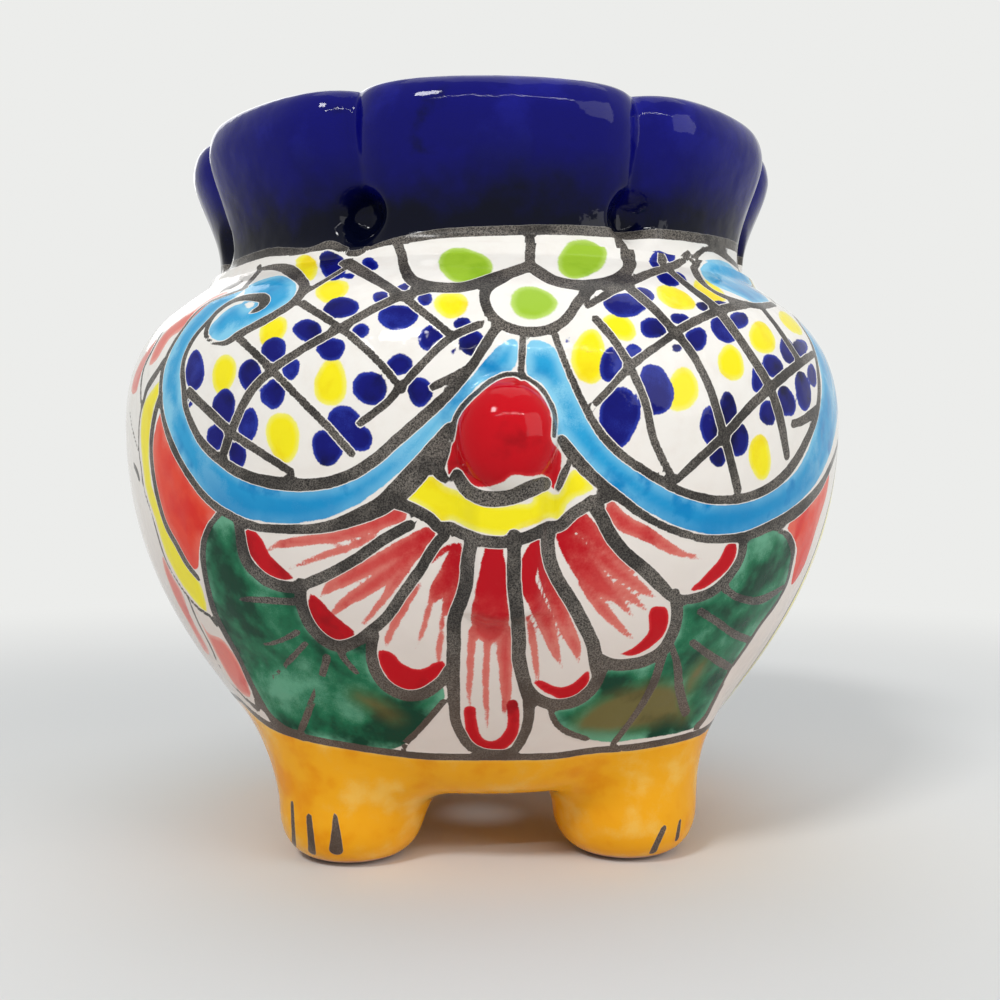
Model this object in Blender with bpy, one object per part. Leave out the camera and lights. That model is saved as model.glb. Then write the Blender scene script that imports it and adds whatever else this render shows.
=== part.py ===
"""Elephant planter: a glazed pot in the form of an elephant, as its potter assembles it.

The belly and the ruffled collar are turned forms. Four feet, a tail, a head with trunk and
tusks, and two ears are luted to the belly. Each piece is one closed body that meets its
neighbour with a thin slip joint. Metres, +Z up, head towards +Y, tail towards -Y.
"""

import math

import bmesh
import bpy
from mathutils import Matrix, Vector
from mathutils.geometry import interpolate_bezier

MM = 0.001

# Fit between pieces
SLIP_JOINT = 0.3 * MM
SEAT_DEPTH = 2.0 * MM
WELD = 0.00005

# Belly, from the ground up
FOOT_HEIGHT = 11.9 * MM
BASE_RISE = 7.6 * MM
BELLY_RISE = 51.6 * MM
SHOULDER_RISE = 27.1 * MM
UNDERSIDE_RADIUS = 31.0 * MM
BASE_RADIUS = 41.9 * MM
BELLY_RADIUS = 63.2 * MM
NECK_RADIUS = 47.2 * MM
BASE_LEAN = math.radians(36.5)
BASE_PULL = 15.5 * MM
BASE_ROUNDING = 6.0 * MM
BELLY_LOWER_PULL = 25.0 * MM
BELLY_UPPER_PULL = 20.8 * MM
NECK_PULL = 6.8 * MM
BODY_WALL = 5.0 * MM
FLOOR_THICKNESS = 6.0 * MM
DRAIN_RADIUS = 5.0 * MM

# Collar
SEAM_DROP = 4.2 * MM
COLLAR_RISE = 16.4 * MM
COLLAR_FLARE = 4.8 * MM
COLLAR_NECK_PULL = 6.7 * MM
COLLAR_CREST_PULL = 4.5 * MM
COLLAR_CREST_LEAN = 0.5 * MM
COLLAR_WALL = 5.2 * MM
LIP_RISE = 4.9 * MM
LOBE_COUNT = 8
TAIL_LOBE_ANGLE = math.radians(52.0)
CREASE_DEPTH = 3.6 * MM
CREASE_SHARPNESS = 4.0
DIMPLE_HALF_WIDTH = 4.6 * MM
DIMPLE_HALF_HEIGHT = 4.3 * MM
DIMPLE_DEPTH = 4.0 * MM
DIMPLE_RISE = 2.9 * MM

# Feet
FOOT_SPACING = 45.0 * MM
FOOT_RADIUS = 12.0 * MM
SOLE_RADIUS = 4.4 * MM
FOOT_ROUNDING = 8.0 * MM
FOOT_FLARE = 3.0 * MM
FOOT_SINK = 9.0 * MM

# Tail
KNOB_HALF_WIDTH = 6.8 * MM
KNOB_HALF_HEIGHT = 7.5 * MM
KNOB_STAND = 5.6 * MM
KNOB_DROP = 4.2 * MM
STRIP_HALF_WIDTH = 6.1 * MM
STRIP_LENGTH = 26.0 * MM
STRIP_STAND = 2.6 * MM
STRIP_EDGE = 0.8 * MM
STRIP_THINNING = 0.35
STRIP_SQUARENESS = 8

# Head, trunk and tusks
HEAD_HALF_WIDTH = 24.0 * MM
HEAD_HALF_DEPTH = 23.0 * MM
HEAD_HALF_HEIGHT = 24.5 * MM
HEAD_SINK = 5.5 * MM
HEAD_DROP = 1.5 * MM
HEAD_WALL = 6.0 * MM
TRUNK_ROOT_RADIUS = 8.6 * MM
TRUNK_TIP_RADIUS = 5.0 * MM
TRUNK_ROOT_DROP = 6.0 * MM
TRUNK_REACH = 15.0 * MM
TRUNK_DIP = 12.0 * MM
TRUNK_RISE = 22.0 * MM
TRUNK_CURL = 7.0 * MM
TUSK_SPREAD = 13.0 * MM
TUSK_DROP = 9.0 * MM
TUSK_LENGTH = 13.0 * MM
TUSK_RADIUS = 3.0 * MM
TUSK_TIP_RADIUS = 1.1 * MM
TUSK_SAG = 1.5 * MM

# Ears
EAR_ANGLE = math.radians(44.0)
EAR_HALF_WIDTH = 20.0 * MM
EAR_HALF_HEIGHT = 22.0 * MM
EAR_DROP = 1.0 * MM
EAR_STAND = 4.5 * MM
EAR_EDGE = 2.2 * MM
EAR_TAPER = 0.28
EAR_ROUNDNESS = 2

# Where the stacked heights meet
UNDERSIDE_Z = FOOT_HEIGHT
BASE_Z = UNDERSIDE_Z + BASE_RISE
WAIST_Z = BASE_Z + BELLY_RISE
NECK_Z = WAIST_Z + SHOULDER_RISE
SEAM_Z = NECK_Z - SEAM_DROP
CREST_Z = NECK_Z + COLLAR_RISE

# How finely round forms are divided
BODY_STEPS = 48
CURVE_STEPS = 6
LIP_STEPS = 6
COLUMNS_PER_LOBE = 8
DIMPLE_SEGMENTS = 12
DIMPLE_RINGS = 8
FOOT_STEPS = 24
ROUNDING_STEPS = 4
BALL_SEGMENTS = 24
BALL_RINGS = 12
TUBE_STEPS = 12
TRUNK_RINGS = 16
TUSK_RINGS = 5
PAD_CELLS = 8
SMOOTH_ANGLE = math.radians(40.0)


def clear_scene():
    for obj in list(bpy.data.objects):
        bpy.data.objects.remove(obj, do_unlink=True)


def glaze(name, colour, roughness=0.12):
    """A glossy opaque glaze of one colour."""
    material = bpy.data.materials.new(name)
    material.use_nodes = True
    shader = material.node_tree.nodes["Principled BSDF"]
    shader.inputs["Base Color"].default_value = (*colour, 1.0)
    shader.inputs["Roughness"].default_value = roughness
    shader.inputs["Metallic"].default_value = 0.0
    return material


def curve_points(start, start_handle, end_handle, end):
    """Points of one Bezier stretch of a (radius, height) outline, both ends included."""
    points = interpolate_bezier(start, start_handle, end_handle, end, CURVE_STEPS + 1)
    return [point.to_2d() for point in points]


def outside_outline():
    """The pot's outer side from the edge of the flat underside up to the collar's crest."""
    underside_edge = Vector((UNDERSIDE_RADIUS, UNDERSIDE_Z))
    base = Vector((BASE_RADIUS, BASE_Z))
    waist = Vector((BELLY_RADIUS, WAIST_Z))
    neck = Vector((NECK_RADIUS, NECK_Z))
    crest = Vector((NECK_RADIUS + COLLAR_FLARE, CREST_Z))
    lean = Vector((math.sin(BASE_LEAN), math.cos(BASE_LEAN)))
    foot_run = curve_points(
        underside_edge, underside_edge + Vector((BASE_ROUNDING, 0.0)), base - lean * BASE_ROUNDING, base
    )
    belly_run = curve_points(base, base + lean * BASE_PULL, waist - Vector((0.0, BELLY_LOWER_PULL)), waist)
    shoulder_run = curve_points(
        waist, waist + Vector((0.0, BELLY_UPPER_PULL)), neck - Vector((0.0, NECK_PULL)), neck
    )
    collar_run = curve_points(
        neck,
        neck + Vector((0.0, COLLAR_NECK_PULL)),
        crest - Vector((COLLAR_CREST_LEAN, COLLAR_CREST_PULL)),
        crest,
    )
    return foot_run + belly_run[1:] + shoulder_run[1:] + collar_run[1:]


def outward(outline, index):
    """The unit normal of an outline that runs upwards, pointing away from the axis."""
    before = outline[max(index - 1, 0)]
    after = outline[min(index + 1, len(outline) - 1)]
    along = after - before
    return Vector((along.y, -along.x)).normalized()


def offset_outline(outline, distance):
    return [point + outward(outline, i) * distance for i, point in enumerate(outline)]


def crossing(outline, height):
    """The point where an upward outline passes a height."""
    for low, high in zip(outline, outline[1:]):
        if low.y <= height <= high.y and high.y > low.y:
            return low.lerp(high, (height - low.y) / (high.y - low.y))
    return outline[-1] if height > outline[-1].y else outline[0]


def stretch(outline, low, high):
    """The part of an upward outline between two heights, with a point on each of them."""
    inner = [point for point in outline if low + WELD < point.y < high - WELD]
    return [crossing(outline, low), *inner, crossing(outline, high)]


OUTSIDE = outside_outline()
SEAT = offset_outline(OUTSIDE, SLIP_JOINT)


def seat_point(angle, height, lift):
    """A point lifted off the belly; the angle is 0 at the tail and half a turn at the head."""
    surface = crossing(OUTSIDE, height)
    ahead = crossing(OUTSIDE, height + MM)
    behind = crossing(OUTSIDE, height - MM)
    along = (ahead - behind).normalized()
    radius = surface.x + along.y * lift
    return Vector((radius * math.sin(angle), -radius * math.cos(angle), surface.y - along.x * lift))


def new_object(name, bm, material):
    """The finished mesh as a smooth object with its faces pointing out."""
    bmesh.ops.remove_doubles(bm, verts=bm.verts, dist=WELD)
    bmesh.ops.recalc_face_normals(bm, faces=bm.faces)
    mesh = bpy.data.meshes.new(name)
    bm.to_mesh(mesh)
    bm.free()
    mesh.shade_smooth()
    mesh.set_sharp_from_angle(angle=SMOOTH_ANGLE)
    if material:
        mesh.materials.append(material)
    obj = bpy.data.objects.new(name, mesh)
    bpy.context.scene.collection.objects.link(obj)
    return obj


def new_cutter(name, bm):
    cutter = new_object(name, bm, None)
    cutter.hide_render = True
    cutter.display_type = "WIRE"
    return cutter


def turned(outline, steps, closed):
    """An outline of (radius, height) points turned once about the upright axis."""
    bm = bmesh.new()
    verts = [bm.verts.new((point[0], 0.0, point[1])) for point in outline]
    pairs = list(zip(verts, verts[1:]))
    if closed:
        pairs.append((verts[-1], verts[0]))
    edges = [bm.edges.new(pair) for pair in pairs]
    bmesh.ops.spin(
        bm, geom=verts + edges, cent=(0, 0, 0), axis=(0, 0, 1), angle=math.tau, steps=steps, use_merge=True
    )
    return bm


def boolean(obj, other, operation):
    modifier = obj.modifiers.new(f"{operation.lower()} {other.name}", "BOOLEAN")
    modifier.operation = operation
    modifier.object = other
    modifier.solver = "EXACT"


def ball(half_x, half_y, half_z, centre):
    """An ellipsoid about a centre."""
    bm = bmesh.new()
    place = Matrix.Translation(centre) @ Matrix.Diagonal((half_x, half_y, half_z, 1.0))
    bmesh.ops.create_uvsphere(
        bm, u_segments=BALL_SEGMENTS, v_segments=BALL_RINGS, radius=1.0, matrix=place
    )
    return bm


def tube(path, radii):
    """A round tube along points of one upright plane, with rounded ends, as bridged rings."""
    first = (path[1] - path[0]).normalized()
    last = (path[-1] - path[-2]).normalized()
    cap = ROUNDING_STEPS
    rings = []
    for i in range(cap, 0, -1):
        swing = math.pi / 2 * i / (cap + 0.5)
        rings.append((path[0] - first * radii[0] * math.sin(swing), radii[0] * math.cos(swing), first))
    for i, (point, radius) in enumerate(zip(path, radii)):
        along = (path[min(i + 1, len(path) - 1)] - path[max(i - 1, 0)]).normalized()
        rings.append((point, radius, along))
    for i in range(1, cap + 1):
        swing = math.pi / 2 * i / (cap + 0.5)
        rings.append((path[-1] + last * radii[-1] * math.sin(swing), radii[-1] * math.cos(swing), last))
    bm = bmesh.new()
    side = Vector((1.0, 0.0, 0.0))
    loops = []
    for centre, radius, along in rings:
        up = side.cross(along)
        turns = [math.tau * k / TUBE_STEPS for k in range(TUBE_STEPS)]
        loops.append(
            [bm.verts.new(centre + radius * (side * math.cos(t) + up * math.sin(t))) for t in turns]
        )
    for low, high in zip(loops, loops[1:]):
        for k in range(TUBE_STEPS):
            after = (k + 1) % TUBE_STEPS
            bm.faces.new((low[k], low[after], high[after], high[k]))
    bm.faces.new(loops[0])
    bm.faces.new(loops[-1])
    return bm


def pad(place, power):
    """A closed pad between an outer and a sunk grid of cells, with rounded corners.

    place(across, up, outer) gives a point for across and up in -1..1; a power of 2 makes the
    pad's outline an ellipse and a higher one makes it a rounder rectangle.
    """
    bm = bmesh.new()
    grids = []
    for outer in (True, False):
        rows = []
        for j in range(PAD_CELLS + 1):
            v = 2 * j / PAD_CELLS - 1
            row = []
            for i in range(PAD_CELLS + 1):
                u = 2 * i / PAD_CELLS - 1
                reach = max(abs(u), abs(v))
                size = 0.0
                if reach:
                    size = (abs(u / reach) ** power + abs(v / reach) ** power) ** (-1 / power)
                row.append(bm.verts.new(place(u * size, v * size, outer)))
            rows.append(row)
        grids.append(rows)
    for rows in grids:
        for low, high in zip(rows, rows[1:]):
            for i in range(PAD_CELLS):
                bm.faces.new((low[i], low[i + 1], high[i + 1], high[i]))
    borders = []
    for rows in grids:
        right = [row[-1] for row in rows[1:-1]]
        left = [row[0] for row in rows[1:-1]]
        borders.append(rows[0] + right + rows[-1][::-1] + left[::-1])
    for i in range(len(borders[0])):
        after = (i + 1) % len(borders[0])
        bm.faces.new((borders[0][i], borders[0][after], borders[1][after], borders[1][i]))
    return bm


def build_body(material):
    """The hollow belly with a floor and a drain hole, open at the seam under the collar."""
    top = SEAM_Z - SLIP_JOINT / 2
    floor_z = UNDERSIDE_Z + FLOOR_THICKNESS
    outer = stretch(OUTSIDE, UNDERSIDE_Z, top)
    inner = stretch(offset_outline(OUTSIDE, -BODY_WALL), floor_z, top)
    outline = [(DRAIN_RADIUS, UNDERSIDE_Z), *outer, *reversed(inner), (DRAIN_RADIUS, floor_z)]
    return new_object("body_shell", turned(outline, BODY_STEPS, closed=True), material)


def crease_angles():
    """The angles of the collar's creases; the lobe over the tail has its own width."""
    others = (math.tau - TAIL_LOBE_ANGLE) / (LOBE_COUNT - 1)
    return [TAIL_LOBE_ANGLE / 2 + others * i for i in range(LOBE_COUNT)]


def ruffle(bm):
    """Draws the collar in at its creases, more towards the lip, and evens out its columns."""
    creases = crease_angles()
    column_angle = math.tau / (LOBE_COUNT * COLUMNS_PER_LOBE)
    for vert in bm.verts:
        column = round(math.atan2(vert.co.y, vert.co.x) / column_angle) % (LOBE_COUNT * COLUMNS_PER_LOBE)
        lobe, step = divmod(column, COLUMNS_PER_LOBE)
        start = creases[lobe]
        end = creases[lobe + 1] if lobe + 1 < LOBE_COUNT else creases[0] + math.tau
        angle = start + (end - start) * step / COLUMNS_PER_LOBE
        aside = abs(2 * step / COLUMNS_PER_LOBE - 1)
        growth = min(max((vert.co.z - SEAM_Z - SLIP_JOINT) / (CREST_Z - SEAM_Z), 0.0), 1.0)
        radius = vert.co.to_2d().length - CREASE_DEPTH * growth * aside**CREASE_SHARPNESS
        vert.co = Vector((radius * math.sin(angle), -radius * math.cos(angle), vert.co.z))


def dimple_cutter():
    """Balls that press a blind dimple into the collar's wall at the foot of each crease."""
    bm = bmesh.new()
    height = NECK_Z + DIMPLE_RISE
    size = Matrix.Diagonal((DIMPLE_HALF_WIDTH, DIMPLE_HALF_HEIGHT, DIMPLE_DEPTH, 1.0))
    for angle in crease_angles():
        out = Vector((math.sin(angle), -math.cos(angle), 0.0))
        centre = out * NECK_RADIUS + Vector((0.0, 0.0, height))
        turn = out.to_track_quat("Z", "Y").to_matrix().to_4x4()
        bmesh.ops.create_uvsphere(
            bm,
            u_segments=DIMPLE_SEGMENTS,
            v_segments=DIMPLE_RINGS,
            radius=1.0,
            matrix=Matrix.Translation(centre) @ turn @ size,
        )
    return new_cutter("dimple_cutter", bm)


def build_collar(material, dimples):
    """The ruffled collar from the seam to a rounded lip, dimpled at each crease."""
    bottom = SEAM_Z + SLIP_JOINT / 2
    outer = stretch(OUTSIDE, bottom, CREST_Z)
    inner = stretch(offset_outline(OUTSIDE, -COLLAR_WALL), bottom, CREST_Z)
    middle = (outer[-1] + inner[-1]) / 2
    half = (outer[-1] - inner[-1]).length / 2
    lip = []
    for i in range(1, LIP_STEPS):
        swing = math.pi * i / LIP_STEPS
        lip.append(middle + Vector((half * math.cos(swing), LIP_RISE * math.sin(swing))))
    bm = turned([*outer, *lip, *reversed(inner)], LOBE_COUNT * COLUMNS_PER_LOBE, closed=True)
    ruffle(bm)
    collar = new_object("rim_collar", bm, material)
    boolean(collar, dimples, "DIFFERENCE")
    return collar


def seat_cutter():
    """The outside of the belly, grown by the slip joint, as a full solid."""
    run = stretch(SEAT, UNDERSIDE_Z - SLIP_JOINT, SEAM_Z)
    outline = [(0.0, UNDERSIDE_Z - SLIP_JOINT), *run, (0.0, SEAM_Z)]
    return new_cutter("belly_seat_cutter", turned(outline, BODY_STEPS, closed=False))


def foot_form():
    """A stubby foot: a flat sole, a rounded edge, a straight leg and a flare into the belly."""
    top = BASE_Z + FOOT_SINK
    outline = [Vector((0.0, 0.0)), Vector((SOLE_RADIUS, 0.0))]
    for i in range(1, ROUNDING_STEPS + 1):
        swing = math.pi / 2 * i / ROUNDING_STEPS
        radius = SOLE_RADIUS + (FOOT_RADIUS - SOLE_RADIUS) * math.sin(swing)
        outline.append(Vector((radius, FOOT_ROUNDING * (1 - math.cos(swing)))))
    for i in range(1, ROUNDING_STEPS + 1):
        share = i / ROUNDING_STEPS
        height = FOOT_ROUNDING + (top - FOOT_ROUNDING) * share
        outline.append(Vector((FOOT_RADIUS + FOOT_FLARE * share**2, height)))
    outline.append(Vector((0.0, top)))
    return turned(outline, FOOT_STEPS, closed=False)


def build_feet(material, seat):
    half = FOOT_SPACING / 2
    for name, x, y in (
        ("foot_rear_left", -half, -half),
        ("foot_rear_right", half, -half),
        ("foot_front_left", -half, half),
        ("foot_front_right", half, half),
    ):
        foot = new_object(name, foot_form(), material)
        foot.location = (x, y, 0.0)
        boolean(foot, seat, "DIFFERENCE")


def build_tail(material, seat):
    """The knob at the tail's root and the raised strip that hangs from it."""
    knob_z = WAIST_Z - KNOB_DROP
    surface = crossing(OUTSIDE, knob_z)
    knob = new_cutter(
        "tail_knob",
        ball(KNOB_HALF_WIDTH, KNOB_STAND, KNOB_HALF_HEIGHT, Vector((0.0, -surface.x, knob_z))),
    )

    def strip_point(across, up, outer):
        height = knob_z - STRIP_LENGTH * (1 - up) / 2
        angle = STRIP_HALF_WIDTH * across / crossing(OUTSIDE, height).x
        crown = STRIP_STAND * (1 - STRIP_THINNING * (1 - up) / 2)
        dome = STRIP_EDGE + (crown - STRIP_EDGE) * math.sqrt(max(1 - across**2, 0.0))
        return seat_point(angle, height, SLIP_JOINT + dome if outer else -SEAT_DEPTH)

    tail = new_object("tail", pad(strip_point, STRIP_SQUARENESS), material)
    boolean(tail, knob, "UNION")
    boolean(tail, seat, "DIFFERENCE")


def head_centre():
    return Vector((0.0, BELLY_RADIUS - HEAD_SINK, WAIST_Z - HEAD_DROP))


def build_head(material, seat):
    """The hollow head on the front of the belly, open where it is luted on."""
    centre = head_centre()
    hollow = new_cutter(
        "head_hollow",
        ball(HEAD_HALF_WIDTH - HEAD_WALL, HEAD_HALF_DEPTH - HEAD_WALL, HEAD_HALF_HEIGHT - HEAD_WALL, centre),
    )
    head = new_object("head", ball(HEAD_HALF_WIDTH, HEAD_HALF_DEPTH, HEAD_HALF_HEIGHT, centre), material)
    boolean(head, seat, "DIFFERENCE")
    boolean(head, hollow, "DIFFERENCE")


def head_cutter():
    """The head grown by the slip joint, for what is luted to it."""
    halves = (HEAD_HALF_WIDTH, HEAD_HALF_DEPTH, HEAD_HALF_HEIGHT)
    return new_cutter("head_seat_cutter", ball(*(half + SLIP_JOINT for half in halves), head_centre()))


def build_trunk(material, head_seat):
    """A tapered trunk that dips from the face, swings forward and lifts its tip."""
    centre = head_centre()
    face = centre.y + HEAD_HALF_DEPTH
    root = Vector((0.0, face - TRUNK_ROOT_RADIUS, centre.z - TRUNK_ROOT_DROP))
    bend = Vector((0.0, face + TRUNK_REACH, root.z))
    tip = Vector((0.0, bend.y - TRUNK_CURL / 2, root.z + TRUNK_RISE))
    low = interpolate_bezier(
        root,
        root + Vector((0.0, TRUNK_REACH / 2, -TRUNK_DIP)),
        bend - Vector((0.0, 0.0, TRUNK_DIP)),
        bend,
        TRUNK_RINGS // 2 + 1,
    )
    high = interpolate_bezier(
        bend,
        bend + Vector((0.0, 0.0, TRUNK_RISE / 2)),
        tip - Vector((0.0, TRUNK_CURL, TRUNK_RISE / 3)),
        tip + Vector((0.0, TRUNK_CURL / 2, 0.0)),
        TRUNK_RINGS // 2 + 1,
    )
    path = low + high[1:]
    taper = (TRUNK_ROOT_RADIUS - TRUNK_TIP_RADIUS) / (len(path) - 1)
    radii = [TRUNK_ROOT_RADIUS - taper * i for i in range(len(path))]
    trunk = new_object("trunk", tube(path, radii), material)
    boolean(trunk, head_seat, "DIFFERENCE")


def build_tusks(material, head_seat):
    centre = head_centre()
    for name, side in (("tusk_left", -1), ("tusk_right", 1)):
        drop = TUSK_DROP / HEAD_HALF_HEIGHT
        spread = TUSK_SPREAD / HEAD_HALF_WIDTH
        depth = HEAD_HALF_DEPTH * math.sqrt(max(1 - drop**2 - spread**2, 0.0))
        root = Vector((0.0, depth - TUSK_RADIUS, -TUSK_DROP)) + centre
        path = []
        for i in range(TUSK_RINGS + 1):
            share = i / TUSK_RINGS
            sag = -TUSK_SAG * 4 * share * (1 - share)
            path.append(root + Vector((0.0, (TUSK_LENGTH + TUSK_RADIUS) * share, sag)))
        taper = (TUSK_RADIUS - TUSK_TIP_RADIUS) / TUSK_RINGS
        radii = [TUSK_RADIUS - taper * i for i in range(TUSK_RINGS + 1)]
        tusk = new_object(name, tube(path, radii), material)
        tusk.location.x = side * TUSK_SPREAD
        boolean(tusk, head_seat, "DIFFERENCE")


def build_ears(material, seat, head_seat):
    """Broad flat ears on the belly's flanks, seated against the back of the head."""
    middle_z = WAIST_Z - EAR_DROP
    for name, side in (("ear_left", -1), ("ear_right", 1)):

        def ear_point(across, up, outer):
            height = middle_z + EAR_HALF_HEIGHT * up
            width = EAR_HALF_WIDTH * (1 + EAR_TAPER * up)
            angle = math.pi - side * (EAR_ANGLE + width * across / BELLY_RADIUS)
            dome = EAR_EDGE + (EAR_STAND - EAR_EDGE) * math.sqrt(max(1 - across**2 - up**2, 0.0))
            return seat_point(angle, height, SLIP_JOINT + dome if outer else -SEAT_DEPTH)

        ear = new_object(name, pad(ear_point, EAR_ROUNDNESS), material)
        boolean(ear, seat, "DIFFERENCE")
        boolean(ear, head_seat, "DIFFERENCE")


def extent(objects):
    """The lowest and highest y that the shown objects reach."""
    bpy.context.view_layer.update()
    graph = bpy.context.evaluated_depsgraph_get()
    reach = []
    for obj in objects:
        shape = obj.evaluated_get(graph)
        reach += [(shape.matrix_world @ vert.co).y for vert in shape.data.vertices]
    return min(reach), max(reach)


def centre_on_ground():
    """Carries every piece on one empty, moved so that the footprint's box is centred."""
    pieces = list(bpy.context.scene.objects)
    low, high = extent([piece for piece in pieces if not piece.hide_render])
    planter = bpy.data.objects.new("planter", None)
    bpy.context.scene.collection.objects.link(planter)
    for piece in pieces:
        piece.parent = planter
    planter.location.y = -(low + high) / 2


def main():
    clear_scene()
    cobalt = glaze("cobalt_glaze", (0.01, 0.01, 0.22))
    amber = glaze("amber_glaze", (0.89, 0.37, 0.01))
    red = glaze("red_glaze", (0.58, 0.01, 0.02))
    white = glaze("painted_white_glaze", (0.85, 0.81, 0.75))
    ivory = glaze("ivory_glaze", (0.87, 0.8, 0.66))
    sky = glaze("sky_glaze", (0.05, 0.42, 0.66))
    seat = seat_cutter()
    head_seat = head_cutter()
    build_body(white)
    build_collar(cobalt, dimple_cutter())
    build_feet(amber, seat)
    build_tail(red, seat)
    build_head(white, seat)
    build_trunk(sky, head_seat)
    build_tusks(ivory, head_seat)
    build_ears(sky, seat, head_seat)
    centre_on_ground()


main()
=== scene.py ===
import logging
import math
from collections.abc import Callable
from dataclasses import dataclass, field
from enum import Enum

import bpy
import numpy as np
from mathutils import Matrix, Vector


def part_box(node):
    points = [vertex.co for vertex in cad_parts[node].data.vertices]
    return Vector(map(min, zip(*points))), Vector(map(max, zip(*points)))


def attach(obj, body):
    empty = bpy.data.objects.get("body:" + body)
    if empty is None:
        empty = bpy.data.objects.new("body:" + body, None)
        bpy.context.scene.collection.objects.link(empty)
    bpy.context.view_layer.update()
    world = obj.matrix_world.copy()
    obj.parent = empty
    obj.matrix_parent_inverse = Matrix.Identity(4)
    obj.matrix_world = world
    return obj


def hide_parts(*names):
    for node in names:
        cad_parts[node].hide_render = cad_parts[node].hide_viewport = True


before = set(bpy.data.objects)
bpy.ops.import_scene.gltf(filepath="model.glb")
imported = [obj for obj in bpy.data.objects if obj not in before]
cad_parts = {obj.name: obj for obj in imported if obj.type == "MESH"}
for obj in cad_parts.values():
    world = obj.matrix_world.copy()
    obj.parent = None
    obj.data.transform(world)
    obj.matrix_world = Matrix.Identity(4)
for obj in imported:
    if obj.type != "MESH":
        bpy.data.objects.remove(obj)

# The glazed, painted look of the elephant planter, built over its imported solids.
# Lengths are millimetres from the pot's own axis unless a name says otherwise: x to the right,
# y towards the head, z up from the ground. They become metres of the row frame in place().

LOG = logging.getLogger("planter")
MM = 0.001
WELD = 0.004
BODY = "root"
ROUNDED = 0.3
Points = np.ndarray
Field = Callable[[Points], np.ndarray]


def pot_axis_y() -> float:
    """Where the pot's axis stands along y, in millimetres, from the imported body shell."""
    low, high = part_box("body_shell")
    return (low.y + high.y) / 2 / MM


AXIS_Y = pot_axis_y()


# Shared geometry


def bezier(
    start: tuple, start_handle: tuple, end_handle: tuple, end: tuple, count: int = 240
) -> Points:
    """Dense points of one Bezier stretch.

    Args:
        start, start_handle, end_handle, end: its four points, of any dimension.
        count: how many points to return.

    Returns:
        An array with one point a row, both ends included.
    """
    t = np.linspace(0.0, 1.0, count)[:, None]
    four = [np.array(p, float)[None, :] for p in (start, start_handle, end_handle, end)]
    return (
        (1 - t) ** 3 * four[0]
        + 3 * t * (1 - t) ** 2 * four[1]
        + 3 * t * t * (1 - t) * four[2]
        + t**3 * four[3]
    )


def evenly(line: Points, count: int) -> Points:
    """The same line with a number of points at even distances along it.

    Args:
        line: one point a row.
        count: how many points the new line has.

    Returns:
        The new line.
    """
    steps = np.linalg.norm(np.diff(line, axis=0), axis=1)
    along = np.concatenate([[0.0], np.cumsum(steps)])
    places = np.linspace(0.0, along[-1], count)
    return np.stack([np.interp(places, along, line[:, k]) for k in range(line.shape[1])], axis=1)


def eased(values: np.ndarray, rounds: int) -> np.ndarray:
    """The same values with each between two others drawn towards them, the ends kept.

    Args:
        values: one value or row after another.
        rounds: how many times they are drawn.

    Returns:
        The eased values.
    """
    values = values.copy()
    for _ in range(rounds):
        values[1:-1] = (values[:-2] + 2 * values[1:-1] + values[2:]) / 4
    return values


def length_of(line: Points) -> float:
    """How long a line of points is."""
    return float(np.linalg.norm(np.diff(line, axis=0), axis=1).sum())


def ramp(value: np.ndarray, low: float, high: float) -> np.ndarray:
    """A smooth step from 0 at low to 1 at high."""
    t = np.clip((value - low) / (high - low), 0.0, 1.0)
    return t * t * (3 - 2 * t)


def unit(vectors: Points) -> Points:
    """The same vectors, one long."""
    return vectors / np.maximum(np.linalg.norm(vectors, axis=-1, keepdims=True), 1e-12)


def blended(first: np.ndarray, second: np.ndarray, reach: float) -> np.ndarray:
    """The distance to two solids together, with a fillet of that reach where they meet."""
    near = np.maximum(reach - np.abs(first - second), 0.0) / reach
    return np.minimum(first, second) - near * near * reach / 4


def slope(form: Field, points: Points, step: float = 0.04) -> Points:
    """The direction in which a field grows fastest, by central differences.

    Args:
        form: the field.
        points: one point a row.
        step: how far to each side the field is read.

    Returns:
        A direction for each point, longer where the field is steeper.
    """
    grown = np.empty_like(points)
    for k in range(3):
        ahead, behind = points.copy(), points.copy()
        ahead[:, k] += step
        behind[:, k] -= step
        grown[:, k] = (form(ahead) - form(behind)) / (2 * step)
    return grown


def settled(points: Points, form: Field, rounds: int = 7, stride: float = 1.5) -> Points:
    """Moves points onto the zero of a field, along its slope.

    Args:
        points: one point a row.
        form: a signed distance, or near it.
        rounds: how many steps to take.
        stride: the longest step.

    Returns:
        The moved points.
    """
    points = points.copy()
    for _ in range(rounds):
        grown = slope(form, points)
        size = np.maximum((grown * grown).sum(axis=1), 1e-6)
        move = -grown * (form(points) / size)[:, None]
        span = np.linalg.norm(move, axis=1, keepdims=True)
        points += move * np.minimum(1.0, stride / np.maximum(span, 1e-9))
    return points


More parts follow.
